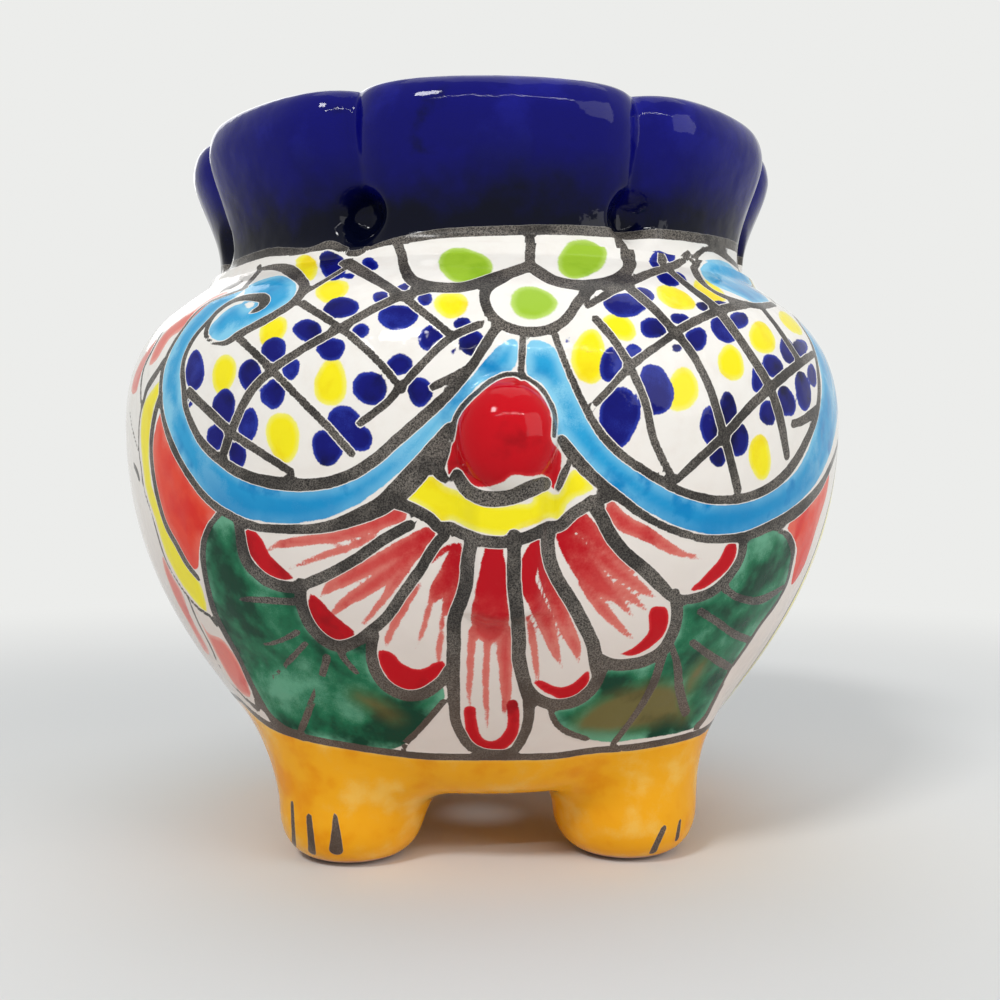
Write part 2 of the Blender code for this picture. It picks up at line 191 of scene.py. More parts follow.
@dataclass
class Turned:
    """A solid turned round an upright axis, for distances.

    Its outline runs from the axis below, out and up, and back to the axis above. The distances
    are worked out once on a fine grid of radius and height and read from it.
    """

    outline: Points
    centre: tuple[float, float] = (0.0, 0.0)
    cell: float = 0.3
    margin: float = 14.0

    def __post_init__(self) -> None:
        """Fills the grid of distances."""
        reach = self.outline[:, 0].max() + self.margin
        low, high = self.outline[:, 1].min() - self.margin, self.outline[:, 1].max() + self.margin
        self.radii = np.arange(0.0, reach, self.cell)
        self.heights = np.arange(low, high, self.cell)
        radius, height = np.meshgrid(self.radii, self.heights, indexing="ij")
        flat = self._exact(np.stack([radius.ravel(), height.ravel()], axis=1))
        self.grid = flat.reshape(radius.shape)

    def _exact(self, place: Points) -> np.ndarray:
        """Signed distance of (radius, height) points from the outline, below zero inside.

        Args:
            place: a radius and a height a row.

        Returns:
            A distance for each point.
        """
        start, end = self.outline[:-1], self.outline[1:]
        run = end - start
        square = (run * run).sum(axis=1)
        result = np.empty(len(place))
        chunk = 8192
        for low in range(0, len(place), chunk):
            part = place[low : low + chunk, None, :] - start[None]
            share = np.clip((part * run).sum(axis=2) / square, 0.0, 1.0)
            away = part - share[..., None] * run
            result[low : low + chunk] = np.sqrt((away * away).sum(axis=2).min(axis=1))
        heights, radii = self.outline[1:-1, 1], self.outline[1:-1, 0]
        side = np.interp(place[:, 1], heights, radii, left=-1.0, right=-1.0)
        return np.where(place[:, 0] < side, -result, result)

    def distance(self, points: Points) -> np.ndarray:
        """Signed distance of points, below zero inside.

        Args:
            points: one point a row.

        Returns:
            A distance for each point.
        """
        radius = np.hypot(points[:, 0] - self.centre[0], points[:, 1] - self.centre[1]) / self.cell
        height = (points[:, 2] - self.heights[0]) / self.cell
        radius = np.clip(radius, 0.0, len(self.radii) - 1.001)
        height = np.clip(height, 0.0, len(self.heights) - 1.001)
        i, j = radius.astype(int), height.astype(int)
        u, v = radius - i, height - j
        g = self.grid
        low = g[i, j] * (1 - u) + g[i + 1, j] * u
        high = g[i, j + 1] * (1 - u) + g[i + 1, j + 1] * u
        return low * (1 - v) + high * v


@dataclass
class Ellipsoid:
    """A ball stretched along the three axes, for distances."""

    centre: tuple[float, float, float]
    halves: tuple[float, float, float]

    def distance(self, points: Points) -> np.ndarray:
        """Signed distance of points, close to exact near the surface.

        Args:
            points: one point a row.

        Returns:
            A distance for each point.
        """
        away = points - np.array(self.centre)
        halves = np.array(self.halves)
        near = np.linalg.norm(away / halves, axis=1)
        steep = np.linalg.norm(away / halves**2, axis=1)
        return near * (near - 1.0) / np.maximum(steep, 1e-9)

    def shell(self, towards: Points, rows: int, columns: int, last: float) -> Points:
        """Points over the surface from the pole in a direction, down to an angle from it.

        Args:
            towards: the direction of the pole.
            rows: how many rings of points, the pole's included.
            columns: how many points a ring.
            last: the last ring's angle from the pole.

        Returns:
            An array of rows, columns and coordinates.
        """
        pole = unit(np.array(towards, float))
        spare = np.array([0.0, 0.0, 1.0]) if abs(pole[2]) < 0.9 else np.array([0.0, 1.0, 0.0])
        side = unit(np.cross(spare, pole))
        up = np.cross(pole, side)
        lean = np.linspace(0.0, last, rows)[:, None, None]
        turn = np.linspace(0.0, math.tau, columns, endpoint=False)[None, :, None]
        way = np.cos(lean) * pole + np.sin(lean) * (np.cos(turn) * side + np.sin(turn) * up)
        return np.array(self.centre) + way * np.array(self.halves)


@dataclass
class Tube:
    """A round tube of changing radius along a path, for distances."""

    path: Points
    radii: np.ndarray

    def against(self, points: Points) -> tuple[np.ndarray, np.ndarray]:
        """Each point's distance from each stretch of the path, and its share along the stretch.

        Args:
            points: one point a row.

        Returns:
            The distances and the shares, a row for each point.
        """
        start, run = self.path[:-1], np.diff(self.path, axis=0)
        part = points[:, None, :] - start[None]
        share = np.clip((part * run).sum(axis=2) / (run * run).sum(axis=1), 0.0, 1.0)
        return np.linalg.norm(part - share[..., None] * run, axis=2), share

    def distance(self, points: Points) -> np.ndarray:
        """Signed distance of points, below zero inside."""
        away, share = self.against(points)
        return (away - self.radii[:-1] - share * np.diff(self.radii)).min(axis=1)

    def along(self, points: Points) -> np.ndarray:
        """How far along the path each point lies.

        Args:
            points: one point a row.

        Returns:
            A way along the path for each point.
        """
        away, share = self.against(points)
        nearest = away.argmin(axis=1)
        steps = np.linalg.norm(np.diff(self.path, axis=0), axis=1)
        before = np.concatenate([[0.0], np.cumsum(steps)[:-1]])
        return before[nearest] + share[np.arange(len(points)), nearest] * steps[nearest]

    def shell(self, columns: int, cap_rows: int) -> Points:
        """Points over the tube from its last end, rounded off, back to its first.

        Args:
            columns: how many points a ring.
            cap_rows: how many rings round off the last end.

        Returns:
            An array of rows, columns and coordinates.
        """
        along = unit(np.gradient(self.path, axis=0))
        side = np.array([1.0, 0.0, 0.0])
        turn = np.linspace(0.0, math.tau, columns, endpoint=False)[:, None]

        def ring(middle: Points, ahead: Points, radius: float) -> Points:
            """One ring of points round a middle, square to the way ahead."""
            return middle + radius * (side * np.cos(turn) + np.cross(side, ahead) * np.sin(turn))

        end, last, radius = self.path[-1], along[-1], self.radii[-1]
        swings = [math.pi / 2 * (1 - i / cap_rows) for i in range(cap_rows)]
        rings = [
            ring(end + last * (radius * math.sin(swing)), last, radius * math.cos(swing))
            for swing in swings
        ]
        rings += [ring(*one) for one in zip(self.path[::-1], along[::-1], self.radii[::-1])]
        return np.array(rings)


# Shared modelling steps


def deselect_all() -> None:
    """Nothing stays selected when the next operator runs."""
    bpy.ops.object.select_all(action="DESELECT")


def clear_stage() -> None:
    """Deletes what a new Blender file holds before the planter is built."""
    deselect_all()
    for name in ("Cube", "Light", "Camera"):
        if name in bpy.data.objects:
            bpy.data.objects[name].select_set(True)
    bpy.ops.object.delete()


def only(piece: bpy.types.Object) -> None:
    """Selects one object and makes it the active one."""
    deselect_all()
    piece.select_set(True)
    bpy.context.view_layer.objects.active = piece


def points_of(piece: bpy.types.Object) -> Points:
    """A piece's vertices in millimetres from the pot's axis."""
    flat = np.empty(len(piece.data.vertices) * 3, np.float32)
    piece.data.vertices.foreach_get("co", flat)
    return flat.reshape(-1, 3).astype(float) / MM - np.array([0.0, AXIS_Y, 0.0])


def place(piece: bpy.types.Object, points: Points) -> None:
    """Puts a piece's vertices at points given in millimetres from the pot's axis."""
    metres = (points + np.array([0.0, AXIS_Y, 0.0])) * MM
    piece.data.vertices.foreach_set("co", metres.astype(np.float32).ravel())
    piece.data.update()


def edited(piece: bpy.types.Object, *steps: Callable[[], object]) -> None:
    """Runs edit-mode steps on the whole of a piece.

    Args:
        piece: the piece.
        steps: what each step calls.
    """
    only(piece)
    bpy.ops.object.mode_set(mode="EDIT")
    bpy.ops.mesh.select_all(action="SELECT")
    for step in steps:
        step()
    bpy.ops.object.mode_set(mode="OBJECT")


def weld() -> None:
    """Merges doubled vertices of what is selected in edit mode."""
    bpy.ops.mesh.remove_doubles(threshold=WELD * MM)


def face_out() -> None:
    """Turns the selected faces outwards."""
    bpy.ops.mesh.normals_make_consistent(inside=False)


def smooth(piece: bpy.types.Object, degrees: float = 40.0) -> None:
    """Shades a piece smooth, apart from edges sharper than an angle."""
    only(piece)
    bpy.ops.object.shade_smooth_by_angle(angle=math.radians(degrees))


def turned_mesh(name: str, outline: Points, angles: np.ndarray) -> bpy.types.Object:
    """Bends a grid primitive round the pot's axis along an outline.

    Args:
        name: the new piece's name.
        outline: radius and height, one point a row, closed.
        angles: the columns' angles from the tail, once round, without the last.

    Returns:
        The new piece, sewn up, with its faces outwards.
    """
    radius, height = outline[:, :1], outline[:, 1:]
    across, back, once = np.sin(angles)[None], -np.cos(angles)[None], np.ones_like(angles)[None]
    points = np.stack([radius * across, radius * back, height * once], axis=2)
    piece = laid_grid(name, points, round_closed=True)
    edited(piece, weld, face_out)
    return piece


def laid_grid(name: str, points: Points, round_closed: bool) -> bpy.types.Object:
    """Lays a grid primitive over rows and columns of points and sews it where they meet.

    Args:
        name: the new piece's name.
        points: an array of rows, columns and coordinates.
        round_closed: whether the last column joins the first.

    Returns:
        The new piece, an open skin whose faces point away from the pot or out of the form.
    """
    if round_closed:
        points = np.concatenate([points, points[:, :1]], axis=1)
    rows, columns = points.shape[:2]
    deselect_all()
    bpy.ops.mesh.primitive_grid_add(x_subdivisions=columns - 1, y_subdivisions=rows - 1, size=1.0)
    piece = bpy.context.object
    piece.name = name
    place(piece, points.reshape(-1, 3))
    edited(piece, weld)
    return piece


def thicken(piece: bpy.types.Object, form: Field, wall: float) -> None:
    """Turns an open skin's faces out of the form it covers and gives it a wall inwards.

    Args:
        piece: the skin.
        form: the field that grows outwards.
        wall: the wall's thickness.
    """
    mesh = piece.data
    normals = np.empty(len(mesh.vertices) * 3, np.float32)
    mesh.vertex_normals.foreach_get("vector", normals)
    outwards = slope(form, points_of(piece))
    if (normals.reshape(-1, 3) * outwards).sum() < 0:
        edited(piece, bpy.ops.mesh.flip_normals)
    only(piece)
    shell = piece.modifiers.new("wall", "SOLIDIFY")
    shell.thickness = wall * MM
    shell.offset = -1.0
    bpy.ops.object.modifier_apply(modifier=shell.name)


@dataclass
class Skin:
    """A form luted onto another, drawn as one skin that runs out over what carries it.

    Attributes:
        own: the form's distance.
        base: the distance of what carries it.
        fillet: the reach of the fillet between them.
        tuck: how far the skin's edge dives under the carrier's surface.
    """

    own: Field
    base: Field
    fillet: float
    tuck: float = 0.4

    def joined(self, points: Points) -> np.ndarray:
        """The distance to the form and its carrier together."""
        return blended(self.own(points), self.base(points), self.fillet)

    def target(self, points: Points) -> np.ndarray:
        """The joined form, sunk under the carrier past the fillet's end."""
        own, base = self.own(points), self.base(points)
        past = np.clip((own - self.fillet) / 1.2, 0.0, 1.0)
        return blended(own, base, self.fillet) + self.tuck * past

    def laid(self, shell: Points, rows: int, stride: float = 0.7) -> Points:
        """Rows of points from the form's pole down its sides and out over its carrier.

        Args:
            shell: the form's own surface, from its pole to well inside the carrier.
            rows: how many rows to return.
            stride: the length of a step out over the carrier.

        Returns:
            An array of rows, columns and coordinates.
        """
        depth = self.base(shell.reshape(-1, 3)).reshape(shell.shape[:2])
        entry, meets = [], []
        for k in range(shell.shape[1]):
            inside = np.nonzero(depth[:, k] < 0)[0]
            first = int(inside[0]) if len(inside) else shell.shape[0] - 1
            high, low = depth[first - 1, k], depth[first, k]
            share = high / (high - low) if high > low else 1.0
            entry.append(first)
            meets.append(shell[first - 1, k] + share * (shell[first, k] - shell[first - 1, k]))
        walk = [settled(np.array(meets), self.base)]
        reach = self.fillet * 1.7 + 2.5
        for _ in range(int(reach / stride)):
            here = walk[-1]
            out = unit(slope(self.base, here))
            away = slope(self.own, here)
            away = unit(away - (away * out).sum(axis=1, keepdims=True) * out)
            ahead = settled(here + away * stride, self.base, rounds=3)
            going = (self.own(here) < self.fillet + 2.0)[:, None]
            walk.append(np.where(going, ahead, here))
        skirt = np.array(walk)
        laid = []
        for k, first in enumerate(entry):
            line = np.concatenate([shell[:first, k], skirt[:, k]])
            laid.append(evenly(line, rows))
        grid = np.array(laid).transpose(1, 0, 2)
        flat = settled(grid.reshape(-1, 3), self.target, rounds=9)
        return flat.reshape(grid.shape)

    def made(self, name: str, shell: Points, rows: int, wall: float = 1.4) -> bpy.types.Object:
        """The finished closed skin as a piece.

        Args:
            name: the piece's name.
            shell: the form's own surface, pole first.
            rows: how many rows of points the skin has.
            wall: the skin's thickness.

        Returns:
            The piece.
        """
        grid = self.laid(shell, rows)
        grid[0] = grid[0].mean(axis=0)
        piece = laid_grid(name, grid, round_closed=True)
        thicken(piece, self.joined, wall)
        smooth(piece, 60.0)
        return piece


# The vessel's outline


@dataclass(frozen=True)
class PotShape:
    """The turned shape of the vessel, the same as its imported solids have."""

    underside: float = 11.9
    base_rise: float = 7.6
    belly_rise: float = 51.6
    shoulder_rise: float = 27.1
    seam_drop: float = 4.2
    collar_rise: float = 16.4
    underside_radius: float = 31.0
    base_radius: float = 41.9
    belly_radius: float = 63.2
    neck_radius: float = 47.2
    base_lean: float = math.radians(36.5)
    base_pull: float = 15.5
    base_rounding: float = 6.0
    lower_pull: float = 25.0
    upper_pull: float = 20.8
    neck_pull: float = 6.8
    collar_flare: float = 4.8
    collar_neck_pull: float = 6.7
    crest_pull: float = 4.5
    crest_lean: float = 0.5
    wall: float = 5.0
    collar_wall: float = 5.2
    lip_rise: float = 4.9
    floor: float = 6.0
    drain_radius: float = 5.0

    @property
    def lean(self) -> Points:
        """The way in which the side starts to rise."""
        return np.array([math.sin(self.base_lean), math.cos(self.base_lean)])

    @property
    def base(self) -> float:
        """The height at which the side starts to rise."""
        return self.underside + self.base_rise

    @property
    def waist(self) -> float:
        """The height of the widest place."""
        return self.base + self.belly_rise

    @property
    def neck(self) -> float:
        """The height of the narrow place under the collar."""
        return self.waist + self.shoulder_rise

    @property
    def seam(self) -> float:
        """The height at which the collar starts."""
        return self.neck - self.seam_drop

    @property
    def crest(self) -> float:
        """The height at which the lip starts to round over."""
        return self.neck + self.collar_rise

    def foot_run(self) -> Points:
        """The rounded edge between the flat underside and the belly."""
        edge = np.array([self.underside_radius, self.underside])
        base = np.array([self.base_radius, self.base])
        pull = self.base_rounding
        return bezier(edge, edge + (pull, 0.0), base - self.lean * pull, base)

    def belly_run(self) -> Points:
        """From the base up to the widest place and in again to the neck."""
        base = np.array([self.base_radius, self.base])
        waist = np.array([self.belly_radius, self.waist])
        neck = np.array([self.neck_radius, self.neck])
        rise = self.lean * self.base_pull
        low = bezier(base, base + rise, waist - (0.0, self.lower_pull), waist)
        high = bezier(waist, waist + (0.0, self.upper_pull), neck - (0.0, self.neck_pull), neck)
        return np.concatenate([low, high[1:]])

    def collar_run(self) -> Points:
        """From the neck up to the collar's crest, before it is ruffled."""
        neck = np.array([self.neck_radius, self.neck])
        crest = np.array([self.neck_radius + self.collar_flare, self.crest])
        end_pull = (self.crest_lean, self.crest_pull)
        return bezier(neck, neck + (0.0, self.collar_neck_pull), crest - end_pull, crest)

    def side(self) -> Points:
        """The whole outer side from the underside's edge to the neck."""
        return np.concatenate([self.foot_run(), self.belly_run()[1:]])

    def radius_at(self, height: np.ndarray) -> np.ndarray:
        """The belly's radius at heights between the underside and the neck."""
        side = self.side()
        return np.interp(height, side[:, 1], side[:, 0])

    def solid(self) -> Turned:
        """The vessel without its hollow, for distances."""
        side = evenly(np.concatenate([self.side(), self.collar_run()[1:]]), 130)
        top = np.array([[0.0, self.crest + 0.01]])
        return Turned(np.concatenate([[[0.0, self.underside - 0.01]], side, top]))


def offset(line: Points, distance: float) -> Points:
    """An upward outline moved sideways, away from the axis where the distance is above zero."""
    along = unit(np.gradient(line, axis=0))
    return line + np.stack([along[:, 1], -along[:, 0]], axis=1) * distance


def between(line: Points, low: float, high: float) -> Points:
    """The part of an upward outline between two heights, with a point on each."""
    ends = [[float(np.interp(z, line[:, 1], line[:, 0])), z] for z in (low, high)]
    inner = line[(line[:, 1] > low + 0.01) & (line[:, 1] < high - 0.01)]
    return np.concatenate([[ends[0]], inner, [ends[1]]])


def side_name(side: int) -> str:
    """Which side a piece is on, the left where the number is below zero."""
    return "left" if side < 0 else "right"


POT = PotShape()
VESSEL = POT.solid()


@dataclass
class Belly:
    """The round belly with its floor and drain hole."""

    shape: PotShape = field(default_factory=PotShape)
    row: float = 0.68
    rear_half: float = math.radians(78.0)
    rear_steps: int = 312
    front_steps: int = 288
    overlap: float = 1.6
    dive: float = 0.35
    inner_rows: int = 15
    bevel: float = 0.8
    sole_rings: tuple[float, float] = (14.0, 22.0)
    floor_ring: float = 16.0

    def outline(self) -> Points:
        """The closed outline, from the drain hole out, up, over and down the inner wall."""
        pot = self.shape
        hole, under, floor = pot.drain_radius, pot.underside, pot.underside + pot.floor
        edge = [[hole, under + self.bevel], [hole + 0.3, under + 0.2], [hole + 1.0, under]]
        sole = [[radius, under] for radius in self.sole_rings]
        belly = between(pot.belly_run(), pot.base, pot.seam)
        out, top = belly[-1]
        lap = [
            [out - self.dive * 0.6, top + self.overlap * 0.35],
            [out - self.dive * 2.0, top + self.overlap],
        ]
        inner = offset(pot.side(), -pot.wall)
        wall = between(inner[inner[:, 1].argmin() :], floor, pot.seam + self.overlap)
        wall[-1, 0] += self.dive
        down = evenly(wall, self.inner_rows)[::-1]
        bottom = [
            [down[-1][0] - 2.0, floor],
            [self.floor_ring, floor],
            [hole + self.bevel, floor],
            [hole, floor - self.bevel],
        ]
        side = evenly(belly, round(length_of(belly) / self.row))[1:]
        foot = evenly(pot.foot_run(), 10)
        return np.concatenate([edge, sole, foot, side, lap, down, bottom, edge[:1]])

    def build(self) -> bpy.types.Object:
        """Turns the belly, finer at the back than at the front."""
        half = self.rear_half
        rear = np.linspace(-half, half, self.rear_steps, endpoint=False)
        front = np.linspace(half, math.tau - half, self.front_steps, endpoint=False)
        piece = turned_mesh("belly_painted", self.outline(), np.concatenate([rear, front]))
        smooth(piece, 35.0)
        return piece


@dataclass
class Collar:
    """The ruffled collar: eight lobes, with a pressed dimple at the foot of each crease."""

    shape: PotShape = field(default_factory=PotShape)
    tail_lobe: float = math.radians(52.0)
    lobes: int = 8
    crease: float = 3.9
    sharpness: float = 5.0
    dimple_half_width: float = 4.7
    dimple_half_height: float = 4.3
    dimple_depth: float = 3.3
    dimple_rise: float = 2.9
    steps: int = 480
    row: float = 0.7

    def creases(self) -> np.ndarray:
        """The creases' angles from the tail, rising from below zero."""
        even = (math.tau - self.tail_lobe) / (self.lobes - 1)
        return np.array([self.tail_lobe / 2 + k * even for k in range(self.lobes)])

    def aside(self, angle: np.ndarray) -> np.ndarray:
        """How far towards a crease an angle from the tail is, 0 mid-lobe to 1 on the crease.

        Args:
            angle: the angles.

        Returns:
            A share for each angle.
        """
        marks = np.concatenate([self.creases() - math.tau, self.creases()])
        angle = (angle + math.pi) % math.tau - math.pi
        index = np.clip(np.searchsorted(marks, angle), 1, len(marks) - 1)
        low, high = marks[index - 1], marks[index]
        return np.abs((angle - (low + high) / 2) / ((high - low) / 2))

    def outline(self) -> Points:
        """The closed outline from the seam up, over the lip and down inside."""
        pot = self.shape
        low = between(pot.belly_run(), pot.seam, pot.neck)
        side = np.concatenate([low, pot.collar_run()[1:]])
        inner = offset(side, -pot.collar_wall)
        crest, hollow = side[-1], inner[-1]
        turn = np.linspace(0.0, math.pi, 80)
        middle, half = (crest[0] + hollow[0]) / 2, (crest[0] - hollow[0]) / 2
        rise = pot.crest + pot.lip_rise * np.sin(turn)
        lip = np.stack([middle + half * np.cos(turn), rise], axis=1)
        line = np.concatenate([side, lip[1:], inner[::-1][1:]])
        line = evenly(line, round(length_of(line) / self.row))
        return np.concatenate([line, line[:1]])

    def ruffled(self, points: Points) -> Points:
        """Draws the creases in and presses the dimples.

        Args:
            points: one point a row.

        Returns:
            The moved points.
        """
        pot = self.shape
        angle = np.arctan2(points[:, 0], -points[:, 1])
        radius = np.hypot(points[:, 0], points[:, 1])
        growth = np.clip((points[:, 2] - pot.seam - 0.3) / (pot.crest - pot.seam), 0.0, 1.0)
        drop = self.crease * growth * self.aside(angle) ** self.sharpness
        middle = offset(self._side(), -pot.collar_wall / 2)
        inner = radius < np.interp(points[:, 2], middle[:, 1], middle[:, 0])
        for mark in self.creases():
            turn = (angle - mark + math.pi) % math.tau - math.pi
            across = turn * radius / self.dimple_half_width
            up = (points[:, 2] - pot.neck - self.dimple_rise) / self.dimple_half_height
            away = np.hypot(across, up)
            bowl = self.dimple_depth * (1 - ramp(away, 0.4, 1.1) ** 0.8)
            drop = drop + np.where(inner, 0.0, bowl)
        scale = (radius - drop) / radius
        return points * np.stack([scale, scale, np.ones_like(scale)], axis=1)

    def _side(self) -> Points:
        """The collar's outer side from seam to crest, extended a little past the crest."""
        pot = self.shape
        low = between(pot.belly_run(), pot.seam - 1.0, pot.neck)
        side = np.concatenate([low, pot.collar_run()[1:]])
        return np.concatenate([side, [[side[-1][0], pot.crest + pot.lip_rise + 1.0]]])

    def build(self) -> bpy.types.Object:
        """Turns, ruffles and dimples the collar."""
        around = np.linspace(0.0, math.tau, self.steps, endpoint=False)
        piece = turned_mesh("collar_painted", self.outline(), around)
        place(piece, self.ruffled(points_of(piece)))
        smooth(piece, 60.0)
        return piece


@dataclass
class Feet:
    """Four stubby feet with rounded soles, running into the belly."""

    spacing: float = 45.0
    radius: float = 12.0
    sole_radius: float = 4.2
    rounding: float = 8.6
    flare: float = 3.0
    height: float = 29.6
    fillet: float = 5.0
    wide_fillet: float = 8.0
    columns: int = 150
    rows: int = 84

    def outline(self) -> Points:
        """One foot's outline from the middle of its sole up into the belly."""
        edge = (self.sole_radius, 0.0)
        side = (self.radius, self.rounding)
        pull = self.rounding * 0.62
        roll = bezier(edge, (edge[0] + pull, 0.0), (side[0], side[1] - pull), side, 40)
        top = bezier(
            side,
            (side[0], side[1] + 5.0),
            (side[0] + self.flare * 0.5, self.height - 4.0),
            (side[0] + self.flare, self.height),
            40,
        )
        return np.concatenate([[[0.0, -0.001]], roll, top[1:], [[0.0, self.height + 0.001]]])

    def build(self) -> tuple[dict[str, bpy.types.Object], list[Skin]]:
        """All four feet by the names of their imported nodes, and their skins, the rear first."""
        made, skins = {}, []
        outline = self.outline()
        run = evenly(outline[:-1], 60)
        turn = np.linspace(0.0, math.tau, self.columns, endpoint=False)
        for rear in (True, False):
            for left in (True, False):
                x = self.spacing / 2 * (-1 if left else 1)
                y = self.spacing / 2 * (-1 if rear else 1)
                form = Turned(outline, (x, y))
                shell = np.stack(
                    [
                        x + run[:, :1] * np.cos(turn)[None],
                        y + run[:, :1] * np.sin(turn)[None],
                        np.repeat(run[:, 1:], self.columns, axis=1),
                    ],
                    axis=2,
                )
                name = f"foot_{'rear' if rear else 'front'}_{'left' if left else 'right'}"
                fillet = self.wide_fillet if rear == left else self.fillet
                skin = Skin(form.distance, VESSEL.distance, fillet)
                made[name] = skin.made(f"{name}_painted", shell, self.rows)
                skins.append(skin)
        return made, skins


@dataclass
class Tail:
    """The tail's root knob and the raised strip that hangs from it."""

    knob_half_width: float = 6.8
    knob_half_height: float = 7.5
    knob_stand: float = 5.6
    knob_drop: float = 4.2
    knob_fillet: float = 1.6
    strip_half_width: float = 6.1
    strip_length: float = 26.0
    strip_stand: float = 2.6
    strip_thinning: float = 0.35
    strip_edge: float = 2.6
    strip_dive: float = 0.35
    cell: float = 0.4
    columns: int = 96
    rows: int = 40

    def knob_height(self) -> float:
        """The knob's middle above the ground."""
        return POT.waist - self.knob_drop

    def strip(self) -> bpy.types.Object:
        """The strip, as a skin lifted off the belly."""
        side = POT.belly_run()
        top = self.knob_height()
        low = top - self.strip_length
        part = between(side, low - 3.0, top + 1.0)
        line = evenly(part, round(length_of(part) / self.cell))
        along = unit(np.gradient(line, axis=0))
        reach = self.strip_half_width + 3.0
        across = np.linspace(-reach, reach, round(2 * reach / self.cell))
        radius, height = line[:, :1], line[:, 1:]
        angle = across[None] / radius
        side_away = np.abs(across)[None] - self.strip_half_width
        drop = (low - height) + (np.abs(across)[None] / self.strip_half_width) ** 2 * 2.2
        edge = np.maximum(side_away, drop)
        share = np.clip((top - height) / self.strip_length, 0.0, 1.0)
        stand = self.strip_stand * (1 - self.strip_thinning * share)
        lift = stand * (1 - ramp(edge, -self.strip_edge, 0.4))
        lift -= self.strip_dive * ramp(edge, 0.2, 1.6)
        out, rise = along[:, 1:], -along[:, :1]
        spread = radius + out * lift
        points = np.stack(
            [spread * np.sin(angle), -spread * np.cos(angle), height + rise * lift], axis=2
        )
        piece = laid_grid("tail_painted", points, round_closed=False)
        thicken(piece, VESSEL.distance, 1.0)
        return piece

    def knob(self) -> bpy.types.Object:
        """The knob, luted on the belly."""
        height = self.knob_height()
        centre = (0.0, -float(POT.radius_at(height)), height)
        ball = Ellipsoid(centre, (self.knob_half_width, self.knob_stand, self.knob_half_height))
        shell = ball.shell(np.array([0.0, -1.0, 0.0]), 60, self.columns, math.radians(150.0))
        skin = Skin(ball.distance, VESSEL.distance, self.knob_fillet, tuck=0.5)
        return skin.made("tail_knob", shell, self.rows, wall=1.0)

    def build(self) -> bpy.types.Object:
        """Strip and knob as one piece."""
        strip, knob = self.strip(), self.knob()
        only(strip)
        knob.select_set(True)
        bpy.ops.object.join()
        smooth(strip, 60.0)
        return strip


